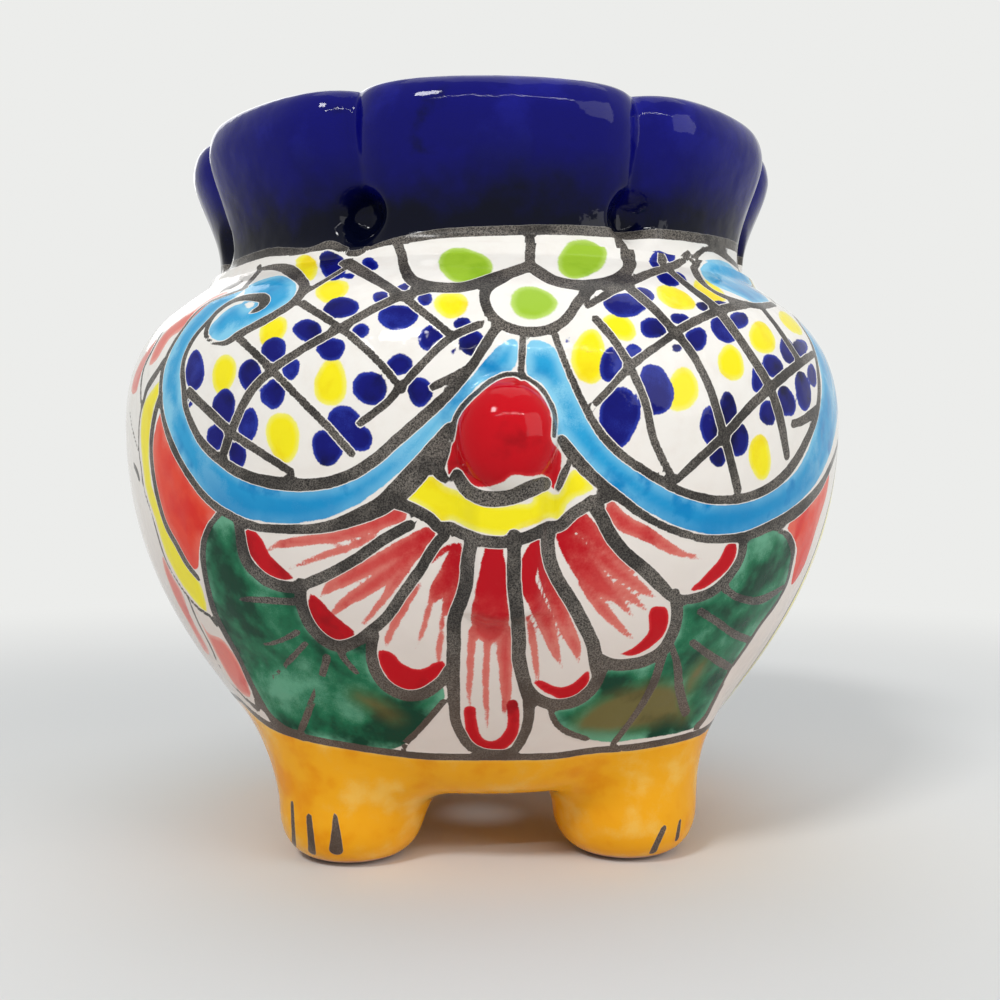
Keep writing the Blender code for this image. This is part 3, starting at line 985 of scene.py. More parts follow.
@dataclass
class Head:
    """The hollow domed head on the front, with its trunk and tusks."""

    half_width: float = 24.0
    half_depth: float = 23.0
    half_height: float = 24.5
    sink: float = 5.5
    drop: float = 1.5
    fillet: float = 4.0
    columns: int = 200
    rows: int = 110
    trunk_root_radius: float = 8.6
    trunk_tip_radius: float = 5.0
    trunk_root_drop: float = 6.0
    trunk_reach: float = 15.0
    trunk_dip: float = 12.0
    trunk_rise: float = 22.0
    trunk_curl: float = 7.0
    trunk_fillet: float = 2.5
    trunk_columns: int = 110
    trunk_rows: int = 200
    tusk_spread: float = 13.0
    tusk_drop: float = 9.0
    tusk_length: float = 13.0
    tusk_radius: float = 3.0
    tusk_tip_radius: float = 1.1
    tusk_sag: float = 1.5

    def __post_init__(self) -> None:
        """Places the head's centre and the fields that the pieces on it use."""
        height = POT.waist - self.drop
        self.centre = (0.0, float(POT.radius_at(height)) - self.sink, height)
        self.ball = Ellipsoid(self.centre, (self.half_width, self.half_depth, self.half_height))

    def joined(self, points: Points) -> np.ndarray:
        """The distance to the vessel and the head together."""
        return blended(self.ball.distance(points), VESSEL.distance(points), self.fillet)

    def build_head(self) -> bpy.types.Object:
        """The dome, running out over the belly."""
        shell = self.ball.shell(np.array([0.0, 1.0, 0.0]), 160, self.columns, math.radians(140.0))
        skin = Skin(self.ball.distance, VESSEL.distance, self.fillet)
        return skin.made("head_painted", shell, self.rows)

    def trunk_tube(self) -> Tube:
        """The trunk's path and radii, from inside the head to its raised tip."""
        face = self.centre[1] + self.half_depth
        low = self.centre[2] - self.trunk_root_drop
        root = np.array([0.0, face - self.trunk_root_radius, low])
        bend = np.array([0.0, face + self.trunk_reach, low])
        tip = np.array([0.0, bend[1] - self.trunk_curl / 2, low + self.trunk_rise])
        first = bezier(
            root,
            root + (0.0, self.trunk_reach / 2, -self.trunk_dip),
            bend - (0.0, 0.0, self.trunk_dip),
            bend,
        )
        second = bezier(
            bend,
            bend + (0.0, 0.0, self.trunk_rise / 2),
            tip - (0.0, self.trunk_curl, self.trunk_rise / 3),
            tip + (0.0, self.trunk_curl / 2, 0.0),
        )
        path = evenly(np.concatenate([first, second[1:]]), 44)
        share = np.linspace(0.0, 1.0, len(path))
        radii = self.trunk_root_radius + (self.trunk_tip_radius - self.trunk_root_radius) * share
        return Tube(path, radii)

    def build_trunk(self) -> bpy.types.Object:
        """The trunk, with a fillet on the head and a rounded tip."""
        tube = self.trunk_tube()
        shell = tube.shell(self.trunk_columns, 14)
        skin = Skin(tube.distance, self.joined, self.trunk_fillet)
        return skin.made("trunk_painted", shell, self.trunk_rows, wall=1.2)

    def build_tusk(self, side: int) -> bpy.types.Object:
        """One tusk, on the left where side is below zero.

        Args:
            side: below zero on the left, above it on the right.

        Returns:
            The piece.
        """
        low, out = self.tusk_drop / self.half_height, self.tusk_spread / self.half_width
        root = self.centre[1] + self.half_depth * math.sqrt(1 - low**2 - out**2) - self.tusk_radius
        share = np.linspace(0.0, 1.0, 24)
        ahead = root + (self.tusk_length + self.tusk_radius) * share
        height = self.centre[2] - self.tusk_drop - self.tusk_sag * 4 * share * (1 - share)
        path = np.stack([np.full_like(share, side * self.tusk_spread), ahead, height], axis=1)
        tube = Tube(path, self.tusk_radius + (self.tusk_tip_radius - self.tusk_radius) * share)
        skin = Skin(tube.distance, self.joined, 0.8, tuck=0.3)
        return skin.made(f"tusk_{side_name(side)}_glazed", tube.shell(40, 8), 56, wall=0.7)


@dataclass
class Ears:
    """Two broad ears on the belly's flanks, with a rolled rim round a shallow dish."""

    head: Head
    angle: float = math.radians(44.0)
    half_width: float = 20.0
    half_height: float = 22.0
    drop: float = 1.0
    taper: float = 0.28
    stand: float = 4.5
    roll: float = 4.0
    dish: float = 0.48
    dish_start: float = 3.6
    dish_end: float = 10.0
    apron: float = 1.8
    dive: float = 0.4
    columns: int = 180
    rows: int = 64

    def lift(self, edge: np.ndarray) -> np.ndarray:
        """The ear's height over what it lies on, by the distance in from its edge."""
        round_out = np.sqrt(np.clip(1 - (1 - np.clip(edge / self.roll, 0.0, 1.0)) ** 2, 0.0, 1.0))
        hollow = 1 - self.dish * ramp(edge, self.dish_start, self.dish_end)
        return self.stand * round_out * hollow - self.dive * ramp(-edge, 0.2, self.apron)

    def build_ear(self, side: int) -> bpy.types.Object:
        """One ear, on the left where side is below zero.

        Args:
            side: below zero on the left, above it on the right.

        Returns:
            The piece.
        """
        middle = POT.waist - self.drop
        turn = np.linspace(0.0, math.tau, self.columns, endpoint=False)
        size = (self.half_width + self.half_height) / 2
        reach = np.linspace(0.0, 1 + self.apron / size, 240)
        across = reach[:, None] * np.cos(turn)[None]
        up = reach[:, None] * np.sin(turn)[None]
        width = self.half_width * (1 + self.taper * np.clip(up, -1.2, 1.2))
        height = middle + self.half_height * up
        angle = math.pi - side * (self.angle + width * across / POT.belly_radius)
        radius = POT.radius_at(height)
        seat = np.stack([radius * np.sin(angle), -radius * np.cos(angle), height], axis=2)
        flat = settled(seat.reshape(-1, 3), self.head.joined, rounds=4)
        out = unit(slope(self.head.joined, flat))
        lift = self.lift((1 - np.repeat(reach, self.columns)) * size)
        raised = (flat + out * lift[:, None]).reshape(seat.shape)
        raised = np.stack([evenly(raised[:, k], self.rows) for k in range(self.columns)], axis=1)
        piece = laid_grid(f"ear_{side_name(side)}_painted", raised, round_closed=True)
        thicken(piece, self.head.joined, 1.0)
        smooth(piece, 60.0)
        return piece


@dataclass
class Eye:
    """The place from which the pot is seen, as worked out from the photograph.

    Attributes:
        focal: the lens in pixels of the 1000 x 1000 frame.
        axis_px: the column where the pot's axis stands.
        horizon_px: the row of the horizon.
        frame_px: the frame's side.
        distance: from the pot's axis.
        azimuth: of the camera from the tail.
        height: above the ground.
        sensor: the camera's sensor width, in millimetres.
    """

    focal: float = 1200.0
    axis_px: float = 482.0
    horizon_px: float = 485.0
    frame_px: float = 1000.0
    distance: float = 222.0
    azimuth: float = math.radians(-3.0)
    height: float = 60.6
    sensor: float = 36.0

    def __post_init__(self) -> None:
        """Works out the eye's place and its ahead, right and up directions."""
        sine, cosine = math.sin(self.azimuth), math.cos(self.azimuth)
        self.place = np.array([self.distance * sine, -self.distance * cosine, self.height])
        self.ahead = np.array([-sine, cosine, 0.0])
        self.right = np.array([cosine, sine, 0.0])
        self.up = np.array([0.0, 0.0, 1.0])

    def depth(self, points: Points) -> np.ndarray:
        """How far ahead of the eye points are."""
        return (points - self.place) @ self.ahead

    def seen(self, points: Points) -> Points:
        """The columns and rows at which points are seen.

        Args:
            points: one point a row.

        Returns:
            A column and a row for each point.
        """
        away = points - self.place
        scale = self.focal / self.depth(points)
        column = self.axis_px + away @ self.right * scale
        return np.stack([column, self.horizon_px - away @ self.up * scale], axis=1)

    def cast(self, pixels: Points, form: Field, clear: float = 80.0, steps: int = 90) -> Points:
        """Where the lines of sight through the frame meet a form.

        Args:
            pixels: a column and a row for each line of sight.
            form: the form's distance.
            clear: how far in front of the pot's axis the search starts.
            steps: how many steps it takes.

        Returns:
            Points on the form; a line that misses it gives the form's point nearest to it.
        """
        side = (pixels[:, :1] - self.axis_px) / self.focal
        rise = (self.horizon_px - pixels[:, 1:2]) / self.focal
        way = unit(self.ahead + side * self.right + rise * self.up)
        far = np.full(len(pixels), self.distance - clear)
        best, nearest = far.copy(), np.full(len(pixels), np.inf)
        for _ in range(steps):
            gap = form(self.place + way * far[:, None])
            closer = gap < nearest
            best = np.where(closer, far, best)
            nearest = np.where(closer, gap, nearest)
            far = far + np.clip(gap, 0.0, 30.0)
            far = np.minimum(far, self.distance + clear)
        return settled(self.place + way * best[:, None], form, rounds=5)

    def build(self) -> bpy.types.Object:
        """The camera, looking level at the pot's axis."""
        deselect_all()
        x, y, z = self.place
        bpy.ops.object.camera_add(location=(x * MM, (y + AXIS_Y) * MM, z * MM))
        camera = bpy.context.object
        camera.name = "camera"
        camera.rotation_euler = (math.pi / 2, 0.0, self.azimuth)
        camera.data.sensor_width = self.sensor
        camera.data.lens = self.sensor * self.focal / self.frame_px
        camera.data.shift_x = 0.5 - self.axis_px / self.frame_px
        camera.data.shift_y = self.horizon_px / self.frame_px - 0.5
        camera.data.clip_start = 0.01
        camera.data.clip_end = 20.0
        bpy.context.scene.camera = camera
        return camera


# The painting. Its marks are read off the tail's side of the pot, as columns and rows of the
# 1000 x 1000 frame; a third number is a stroke's width there, and dabs give two half sizes.


class Paint(Enum):
    """A colour of the painting, numbered by its place in the paint attributes."""

    INK = 0
    COBALT = 1
    YELLOW = 2
    SKY = 3
    GREEN = 4
    CORAL = 5
    RED = 6
    STREAK = 7
    PINK = 8
    LIME = 9
    COLLAR = 10
    AMBER = 11
    OLIVE = 12


@dataclass(frozen=True)
class Mark:
    """One mark of the brush.

    Attributes:
        paint: its colour.
        points: "column,row" or "column,row,width" for each point, with spaces between.
        width: a stroke's width where its points give none.
        closed: whether the points are an outline that is filled.
    """

    paint: Paint
    points: str
    width: float = 0.0
    closed: bool = False


def strokes(paint: Paint, width: float, lines: str) -> tuple[Mark, ...]:
    """Brush strokes of one colour and width, with a slash between two."""
    return tuple(Mark(paint, line, width) for line in lines.split("/"))


def fills(paint: Paint, outlines: str) -> tuple[Mark, ...]:
    """Filled outlines of one colour, with a slash between two."""
    return tuple(Mark(paint, outline, closed=True) for outline in outlines.split("/"))


def dabs(paint: Paint, places: str) -> tuple[Mark, ...]:
    """Uneven oval dabs, each "column,row,half width,half height" or with a lean in degrees too.

    Args:
        paint: their colour.
        places: the dabs, with spaces between.

    Returns:
        Their marks.
    """
    made = []
    for place_text in places.split():
        numbers = [float(number) for number in place_text.split(",")]
        x, y, wide, high = numbers[:4]
        lean = math.radians(numbers[4]) if len(numbers) > 4 else 0.0
        outline = []
        for k in range(18):
            turn = math.tau * k / 18
            size = 1.04 + 0.07 * math.sin(2 * turn + x) + 0.05 * math.sin(3 * turn + y)
            across, down = wide * size * math.cos(turn), high * size * math.sin(turn)
            column = x + across * math.cos(lean) - down * math.sin(lean)
            row = y + across * math.sin(lean) + down * math.cos(lean)
            outline.append(f"{column},{row}")
        made.append(Mark(paint, " ".join(outline), closed=True))
    return tuple(made)


LATTICE_LEFT = strokes(Paint.INK, 8.0, """
224,452 231,432 248,396 272,370 306,347 340,328 373,309 402,296 427,289 /
360,423 384,405 400,388 425,361 450,338 480,324 /
433,387 469,368 /
306,292,4 344,269,4 /
189,392 231,432 257,450 291,472 /
239,338 272,370 302,401 329,428 352,454 /
302,303 340,328 369,352 391,376 402,390 /
346,262 373,278 402,296 429,317 451,335
""")
LATTICE_RIGHT = (
    *strokes(Paint.INK, 8.0, """
659,257,6 665,266,6 688,286,7 716,308,8 739,338 759,368 771,390 780,418 787,455,6 /
632,290 654,309 674,331 693,355 710,389 722,428 730,458 738,490 /
596,319 616,343 630,367 645,401 654,440 672,478 /
763,309,6 780,331,6 800,362,6
"""),
    *strokes(Paint.INK, 8.5, """
587,306,6 616,289,7 650,273,6 673,266,6 689,253,7 /
596,403,8 614,384,7 632,365,9 664,341,8 686,326,9 720,310,7 749,304,5 /
677,480,7 698,460 725,435 747,410 771,387 795,367,8 813,354,6 /
793,424,8 804,420,7 817,409,5
"""),
)
SCALLOPS = strokes(Paint.INK, 10.0, """
400,245 407,274 424,285 462,287 500,276 530,266 /
530,239 530,268 /
530,266 553,280 584,285 616,280 630,265 625,253 621,240 /
503,277 488,287 484,298 491,315 507,327 531,332 553,328 568,317 577,303 590,290
""")
COBALT_DABS = dabs(Paint.COBALT, """
333,266,13,14 370,264,9,6,20 349,276,6,3 381,297,9,6 406,287,10,4 425,299,8,7,20 341,308,17,11,-8
398,317,19,13 308,331,14,12 361,331,9,8 331,349,15,11 274,350,13,12 195,371,9,20,8 189,401,4,7
251,376,12,16 291,369,8,12,20 273,394,12,15 224,407,12,17 216,437,9,14 248,425,10,17
237,454,9,14,-12 431,338,13,13 462,323,9,6 472,343,12,14 453,352,3,3 399,365,13,11 370,388,18,16
420,392,13,14 344,423,18,16 358,438,15,13 327,448,15,18 660,260,12,9 667,279,12,6,25 680,277,8,4,35
625,305,21,12,8 644,294,11,6,30 653,328,14,10 680,319,10,6,10 633,352,10,7,-15 612,365,12,18
696,339,12,11,30 677,348,6,4 724,330,15,11,42 739,320,10,8,40 705,307,9,5,15 721,304,8,3,10
655,390,16,27,-10 619,417,20,30 709,426,9,19 728,409,9,16 739,440,10,16 718,457,8,11 758,378,7,15
773,366,9,13,-20 788,351,7,15,-25 800,348,7,10,-20 768,413,8,14 786,402,9,16,-8 803,391,8,19,-8
812,375,4,13,-10 568,340,3,3
""")
YELLOW_DABS = dabs(Paint.YELLOW, """
307,268,11,12 332,291,18,10,-20 273,331,12,17,25 224,374,12,19,8 451,305,18,12 331,383,17,22
283,437,16,25 675,298,20,10,28 709,291,19,8,27 619,327,18,12,35 589,357,18,25 731,363,12,19,-20
762,338,11,18,-28 790,323,17,5,45 682,390,16,21 760,457,11,22
""")
LIME_DABS = dabs(Paint.LIME, "465,266,26,17 581,259,23,19 533,303,24,15")
SKY_BANDS = fills(Paint.SKY, """
246,288 226,294 206,306 184,329 169,356 163,381 164,411 172,439 186,467 206,494 224,509 242,517
273,523 300,523 330,517 355,506 378,490 400,472 417,456 433,437 446,422 452,422 457,412 473,391
484,381 503,375 516,366 518,343 512,338 500,345 484,361 472,376 457,390 440,408 420,428 400,446
373,467 340,484 306,490 275,487 246,478 222,462 201,440 187,413 181,392 183,364 194,338 217,312 /
527,343 528,377 542,383 549,398 555,417 556,435 563,436 572,448 591,469 607,482 620,492 640,507
661,519 683,528 706,534 727,534 746,531 769,521 790,509 808,493 820,476 831,450 837,420 838,390
833,360 822,338 805,318 788,306 795,318 812,345 822,384 815,428 797,470 762,497 722,505 686,497
650,479 620,455 601,433 589,414 576,393 566,373 560,355 545,342 /
246,288 271,277 284,276 296,284 295,295 284,306 250,327 233,338 217,341 209,334 210,327 224,312
239,304 255,302 257,304 246,309 /
700,266 707,260 726,262 749,283 770,302 758,304 737,295 707,281
""")
BAND_LINES = (
    *strokes(Paint.INK, 8.0, """
217,312,3 194,338,4 183,364,4 184,390,5 187,412,5 201,441,7 224,463,9 250,477,11 284,484,13
317,484,12 346,477,12 373,461,12 396,441,12 429,412,12 450,392,11 471,367,10 487,342,10 500,322,9 /
246,288,3 206,304,3 183,329,3 167,356,4 161,381,4 162,411,4 170,440,5 184,468,5 204,496,6 224,512,7
253,526,8 282,529,9 311,529,10 335,525,12 359,516,16 381,506,19 402,488,23 422,466,22 440,442,16
449,428,10 /
553,331,7 572,379,7 594,423,8 616,450,9 650,474,9 686,493,9 722,500,9 759,493,8 790,469,7 814,423,6
819,384,5 812,345,4 793,314,4 /
562,440,10 575,458,13 596,480,12 616,495,10 637,511,9 659,524,8 681,533,8 705,539,8 727,539,8
747,536,8 771,526,8 793,514,8 812,497,7 824,480,6 836,450,4 841,415,4 /
523,335,7 522,355,7 521,377,6 /
262,269,4 275,267,6 288,269,8 304,283,8 304,289,8 293,303,7 262,322,7 239,334,6 226,343,5 213,343,4
206,336,4 208,325,4 217,312,5 235,300,5 250,297,6 264,298,8 266,303,7 258,309,5 251,312,2
"""),
    *strokes(Paint.INK, 5.0, """
694,268 695,258 703,250,5 715,249,6 728,258,4 741,270,3 752,281,2 766,295,2 775,303,2 /
694,268 699,279,6 710,289 728,298 756,306 774,304,4 /
262,266,4 254,277 243,289,4
"""),
)
YELLOW_BAND = fills(Paint.YELLOW, """
404,494 427,474 436,479 447,487 461,492 477,500 494,504 515,504 532,503 534,492 547,490 553,494
559,495 565,479 577,467 584,473 593,485 593,490 568,502 565,511 559,521 551,517 538,523 522,528
513,534 500,536 484,533 473,530 461,525 450,519 440,525 434,515 419,505 /
161,380 152,390 144,404 141,424 141,445 143,467 146,489 155,518 167,556 182,584 198,605 207,612
201,585 187,563 176,544 165,520 154,494 151,480 149,459 150,438 152,421 154,407 160,393
""")
KNOB = fills(Paint.RED, """
515,377 526,381 538,391 547,404 552,417 551,437 554,444 560,452 562,460 559,482 556,491 549,484
544,474 530,477 513,474 504,482 490,486 477,487 467,481 459,467 456,466 449,477 447,467 448,452
450,446 453,437 457,421 465,408 477,396 490,385 503,378
""")
KNOB_LINES = strokes(Paint.INK, 3.0, """
452,440 455,419 464,405 476,393 489,382 503,375 515,374 527,378 541,388 550,402 555,417 554,436 /
457,475,12 467,490,14 482,498,15 500,499,16 515,496,15 530,489,17 544,484,14 /
447,446,8 441,459,13 437,469,15 446,480,8 /
571,461,4 566,469,8 561,481,7 557,491,5
""")
BAND_UNDERLINE = strokes(Paint.INK, 12.0, """
393,502 413,509 430,519 439,528 449,527 461,533 483,541 507,542 531,536 546,528 560,526 570,516
584,507 596,501 608,496
""")
FAN_LINES = (
    *strokes(Paint.INK, 11.0, """
239,526,9 245,558 260,576 277,585 296,587 316,580 337,570 362,555 386,538 410,525 /
301,584 301,601 306,618 316,633 330,644 345,646 359,640 371,631 386,618 398,601 410,584 420,570
427,558 437,543 444,536 /
374,635 371,650 374,667 384,684 398,693 413,696 427,692 442,681 449,671 /
528,688 536,698 550,704 567,704 582,698 594,686 601,671 /
599,659 611,664 625,665 645,661 662,651 671,637 676,623 677,611 676,601 674,594 /
674,599,8 691,599,9 708,594,9 722,584,9 734,570,8 742,555,8 743,543,8
"""),
    *strokes(Paint.INK, 14.0, """
471,543 468,560 466,584 459,606 454,621 454,645 453,669 454,698,12 456,722,10 466,742,9 478,751,8
495,754,8 512,752,8 519,744,9 527,727,10 529,703,12 524,681 519,659 519,635 517,611 514,584 514,560
514,536 /
548,528 548,550 553,570 562,587 574,606 584,625 593,645 596,664 599,674 /
591,502 601,516 611,536 625,553 645,570 659,584 671,596,11
"""),
)
LEAVES = fills(Paint.GREEN, """
223,511 211,524 204,541 203,560 207,584 214,611 226,635 243,664 260,688 277,710 296,725 316,734
335,737 362,744 386,749 403,745 417,732 432,715 444,701 441,683 427,692 413,696 398,693 384,684
374,667 371,650 374,635 371,631 359,640 345,646 330,644 316,633 306,618 301,601 301,586 296,587
277,585 260,576 245,558 239,526 /
601,671 594,686 582,698 567,704 550,708 555,722 567,732 587,739 611,742 637,738 664,732 686,724
697,715 711,697 728,672 745,648 760,625 775,605 786,585 791,565 793,548 785,533 768,528 752,538
743,543 742,555 734,570 722,584 708,594 691,599 677,600 677,611 676,623 671,637 662,651 645,661
625,665 611,664
""")
LEAF_LINES = strokes(Paint.INK, 6.0, """
223,511,5 211,524,5 204,541,5 203,560,5 207,584,5 214,611 226,635 243,664 260,688 277,710 296,725
316,734 /
403,745 417,732 432,715 444,701 /
768,528,5 785,533,5 793,548,5 791,565,4 786,585,4 775,605,4 760,625,4 745,648,4 728,672,4 711,697,5
697,715,6 686,724 /
550,708 555,722 567,732 587,739,5 /
241,599,4 262,600,6 294,602,7 /
264,645,3 280,641,5 298,632,6 /
275,677,4 291,659,6 306,643,6 /
327,657,8 321,680,6 315,703,6 312,727,5 /
340,650,7 345,660,6 356,672,5 /
724,588,8 737,597,8 754,601,6 768,597,6 782,588,4 /
700,611,8 717,622,8 734,634,8 749,640,6 /
692,642,8 705,652,8 720,662,9 730,668,7 /
671,645,6 677,664,7 679,688,7 681,712,6 /
662,656,8 655,680,7 643,703,6 630,722,5 615,741,5
""")
OLIVE_PATCHES = strokes(Paint.OLIVE, 16.0, """
360,698,12 378,706 392,716,12 /
588,722,20 612,714,36 640,708,40 664,706,32 678,716,14 /
686,692,8 696,674,14 704,662,8
""")
STREAKS = strokes(Paint.STREAK, 10.0, """
399,514,17 369,526,15 335,537,12 301,541,10 277,545,7 268,550,2 /
374,535,6 350,547,7 325,555,7 306,562,6 289,569,2 /
427,535,17 405,548,19 379,562,17 350,577,15 330,587,11 321,596,3 /
418,550,15 393,570,17 369,587,15 350,599,12 335,611,7 331,615,2 /
413,558,10 398,577,11 386,596,8 374,611,6 363,624,2 /
449,548,7 437,555,7 425,565,5 /
456,548,11 449,572,19 442,587,22 432,599,8 427,616,6 422,633,5 416,648,1 /
460,545,5 459,572,7 451,596,12 447,611,11 /
442,618,4 441,635,5 439,650,6 439,662,5 /
420,584,5 408,601,8 396,621,9 388,638,7 386,647,2 /
494,550,19 493,572,27 491,596,32 490,618,39 490,628,36 /
474,630,10 471,650,8 470,674,7 469,693,6 470,707,2 /
490,630,10 487,650,7 486,674,7 486,698,6 487,713,5 487,728,1 /
505,630,12 505,655,15 506,679,12 506,698,10 504,713,2 /
497,635,3 500,664,3 502,688,2 /
538,545,15 530,562,19 527,582,17 536,601,17 545,621,17 550,635,15 555,650,10 562,669,2 /
542,560,10 548,582,15 558,606,15 565,625,15 575,645,12 579,662,2 /
528,618,5 532,635,8 535,655,8 537,674,5 538,680,2 /
562,533,15 577,553,27 589,572,27 601,587,22 616,596,12 625,608,7 634,617,2 /
584,582,12 596,601,12 611,618,11 623,630,7 633,639,2 /
596,553,17 616,570,15 635,584,11 650,594,7 658,599,2 /
616,587,10 633,599,8 647,610,3 /
577,519,22 591,533,19 608,550,15 625,562,10 638,573,2 /
611,509,15 625,524,17 645,533,15 664,545,12 684,555,7 703,558,2
""")
PETAL_TIPS = (
    *fills(Paint.RED, """
249,528 260,536 270,555 282,567 294,577 291,580 277,579 262,570 250,555 243,543 243,535 /
311,593 321,601 335,616 350,628 356,634 347,640 335,641 323,635 313,623 308,608 /
379,650 391,652 403,664 418,670 427,667 437,661 445,661 445,670 434,681 422,690 410,692 398,688
386,676 379,662 /
533,681 543,680 553,686 565,687 577,681 588,670 589,681 582,693 570,699 558,699 548,693 538,688 /
650,608 659,606 667,608 669,621 665,633 657,642 645,651 630,656 618,653 630,650 640,642 650,630
648,621 /
727,544 736,543 736,555 730,567 718,579 703,589 690,590 698,582 710,570 720,558
"""),
    *strokes(Paint.RED, 12.0, "470,710 471,727 477,741 488,747 500,745 511,734 514,718 512,704"),
)
FLANKS = (
    *fills(Paint.CORAL, """
161,411 155,430 153,460 158,494 167,525 178,546 192,568 198,569 200,546 209,528 218,509 206,497
184,467 169,436 163,415 /
829,473 827,492 822,510 816,529 809,552 802,570 791,586 795,564 797,549 794,539 787,526 802,514
815,498 822,485
"""),
    *fills(Paint.PINK, """
227,292 213,297 194,310 175,323 162,336 153,353 149,366 157,360 163,349 171,337 182,330 196,318
213,305 228,297 /
157,339 143,357 134,377 131,393 136,394 139,382 142,371 150,354 /
195,608 201,621 208,633 222,639 233,653 248,674 258,693 256,697 245,691 231,676 219,659 213,647
202,625 /
163,556 172,575 182,593 191,617 205,643 210,655 205,652 190,625 175,597 164,568
"""),
    *strokes(Paint.INK, 2.0, """
163,362,4 156,374,5 147,388,5 144,400,4 141,410 139,427 139,450 141,466 144,489 153,518 165,558
181,587 198,608,3 210,616,3 216,624,4 /
161,334,3 151,353,3 144,368,3 141,385,3 141,405,2 /
187,595 198,622 210,645 219,665 231,680,3 247,694,3 260,703,4 268,708,5 262,694,4 257,685,2
"""),
    *strokes(Paint.INK, 5.0, """
161,394,4 156,410 152,431 151,452 153,473 157,495 165,523 176,544 187,564 198,578,4 /
221,292,3 228,287,7 235,285,9
"""),
)
EDGE_MARKS = strokes(Paint.INK, 2.0, """
130,412 132,427 138,450 /
134,465,3 137,471,5 139,478,4
""")
TOES = strokes(Paint.INK, 5.0, """
278,789,4 279,812,5 /
292,803,5 294,845,7 /
309,817,7 312,852,9 /
335,815,4 336,832,9 336,850,14 /
664,828,6 653,852,8 /
680,821,4 677,839,6
""")
BACK_PAINTING = (
    *LATTICE_LEFT,
    *LATTICE_RIGHT,
    *SCALLOPS,
    *COBALT_DABS,
    *YELLOW_DABS,
    *LIME_DABS,
    *SKY_BANDS,
    *BAND_LINES,
    *YELLOW_BAND,
    *KNOB,
    *KNOB_LINES,
    *BAND_UNDERLINE,
    *FAN_LINES,
    *LEAVES,
    *LEAF_LINES,
    *OLIVE_PATCHES,
    *STREAKS,
    *PETAL_TIPS,
    *FLANKS,
)
COLLAR_EDGE = (
    "224,268 257,256 275,252 306,252 329,245 344,250 358,254 373,248 395,242 440,234 500,231"
    " 560,230 610,232 650,233 690,237 725,243 742,250"
)
BASE_EDGE = (
    "243,699 265,713 289,725 316,734 350,743 386,751 422,756 459,757 507,757 553,756 589,751"
    " 625,747 657,739 686,730"
)


def flower(x: float, y: float, petals: int = 8) -> tuple[Mark, ...]:
    """A round flower with outlined petals, in millimetres.

    Args:
        x, y: its middle.
        petals: how many petals it has.

    Returns:
        Its marks.
    """
    outline = ((4.0, 1.0), (6.5, 2.2), (9.5, 3.1), (12.2, 2.5), (13.2, 0.0))
    outline += tuple((out, -aside) for out, aside in outline[-2::-1])
    made = []
    for number in range(petals):
        turn = math.tau * number / petals + 0.2
        ahead, side = (math.cos(turn), math.sin(turn)), (-math.sin(turn), math.cos(turn))
        spots = [
            f"{x + out * ahead[0] + aside * side[0]},{y + out * ahead[1] + aside * side[1]}"
            for out, aside in outline
        ]
        made += fills(Paint.PINK if number % 2 else Paint.CORAL, " ".join(spots))
        made += strokes(Paint.INK, 1.2, " ".join([*spots, spots[0]]))
    ring = [f"{x + 3.3 * math.cos(k)},{y + 3.3 * math.sin(k)}" for k in range(7)]
    made += strokes(Paint.INK, 1.1, " ".join(ring))
    return (*made, *dabs(Paint.YELLOW, f"{x},{y},3,3"), *dabs(Paint.COBALT, f"{x},{y},1.3,1.3"))


# The flanks aren't seen in the frame: their marks are millimetres round and up from the middle.
FLANK_PAINTING = (
    *strokes(Paint.INK, 1.1, """
-26,50 -24.5,28 -22,20 -18.8,10 -18.8,4 -21.5,-4 -24,-12 -26,-22 -27.5,-34 -28,-60 /
-19.4,50 -17.8,28 -15.2,20 -12.4,10 -12.4,4 -15,-4 -17.4,-12 -19.2,-22 -20.6,-34 -21,-60 /
26.5,50 25.5,28 21.6,20 18.2,6 18,-6 18.8,-24 20,-38 21.5,-60 /
-7,50 -6,30 -3.4,23 3,20 9.4,23 12,30 13,50 /
-15.4,50 -15,31 -12,26.5 -8,27 -6,31 /
12,31 14,27 19,26.5 23.6,31 25.5,40 /
3,-50 -1.5,-42 -6.5,-34 -8.2,-26 -5,-18 -1,-20 3,-32 7,-20 11,-18 13.6,-26 12,-34 7.5,-42 3,-50
"""),
    *strokes(Paint.INK, 1.1, """
2,-44 -2,-34 -5,-24 /
4,-44 8,-34 10.6,-24 /
3,-32 3,-13
"""),
    *fills(Paint.GREEN, """
3,-50 -1.5,-42 -6.5,-34 -8.2,-26 -5,-18 -1,-20 3,-32 7,-20 11,-18 13.6,-26 12,-34 7.5,-42
"""),
    *strokes(Paint.YELLOW, 5.6, """
-22.7,50 -21.1,28 -18.6,20 -15.6,10 -15.6,4 -18.2,-4 -20.7,-12 -22.6,-22 -24,-34 -24.5,-60
"""),
    *flower(3.0, 1.0),
    *dabs(Paint.LIME, "3,28.5,4.4,3.6"),
    *dabs(Paint.YELLOW, "-11,31.5,2.4,2 19,31.5,2.6,2"),
    *dabs(Paint.COBALT, """
-8.6,17,1.5,1.9 14.6,17,1.5,1.9 -8.6,-14,1.5,1.9 14.6,-14,1.5,1.9 -11.5,-38,1.6,2.2 17.2,-38,1.6,2.2
-11,-28,1.2,1.6 16.8,-28,1.2,1.6
"""),
)


def numbers_in(text: str, width: float = 0.0) -> Points:
    """The rows of numbers in a mark's points, with a width where one gives none."""
    rows = [[float(number) for number in item.split(",")] for item in text.split()]
    return np.array([row if len(row) > 2 else [*row, width] for row in rows])


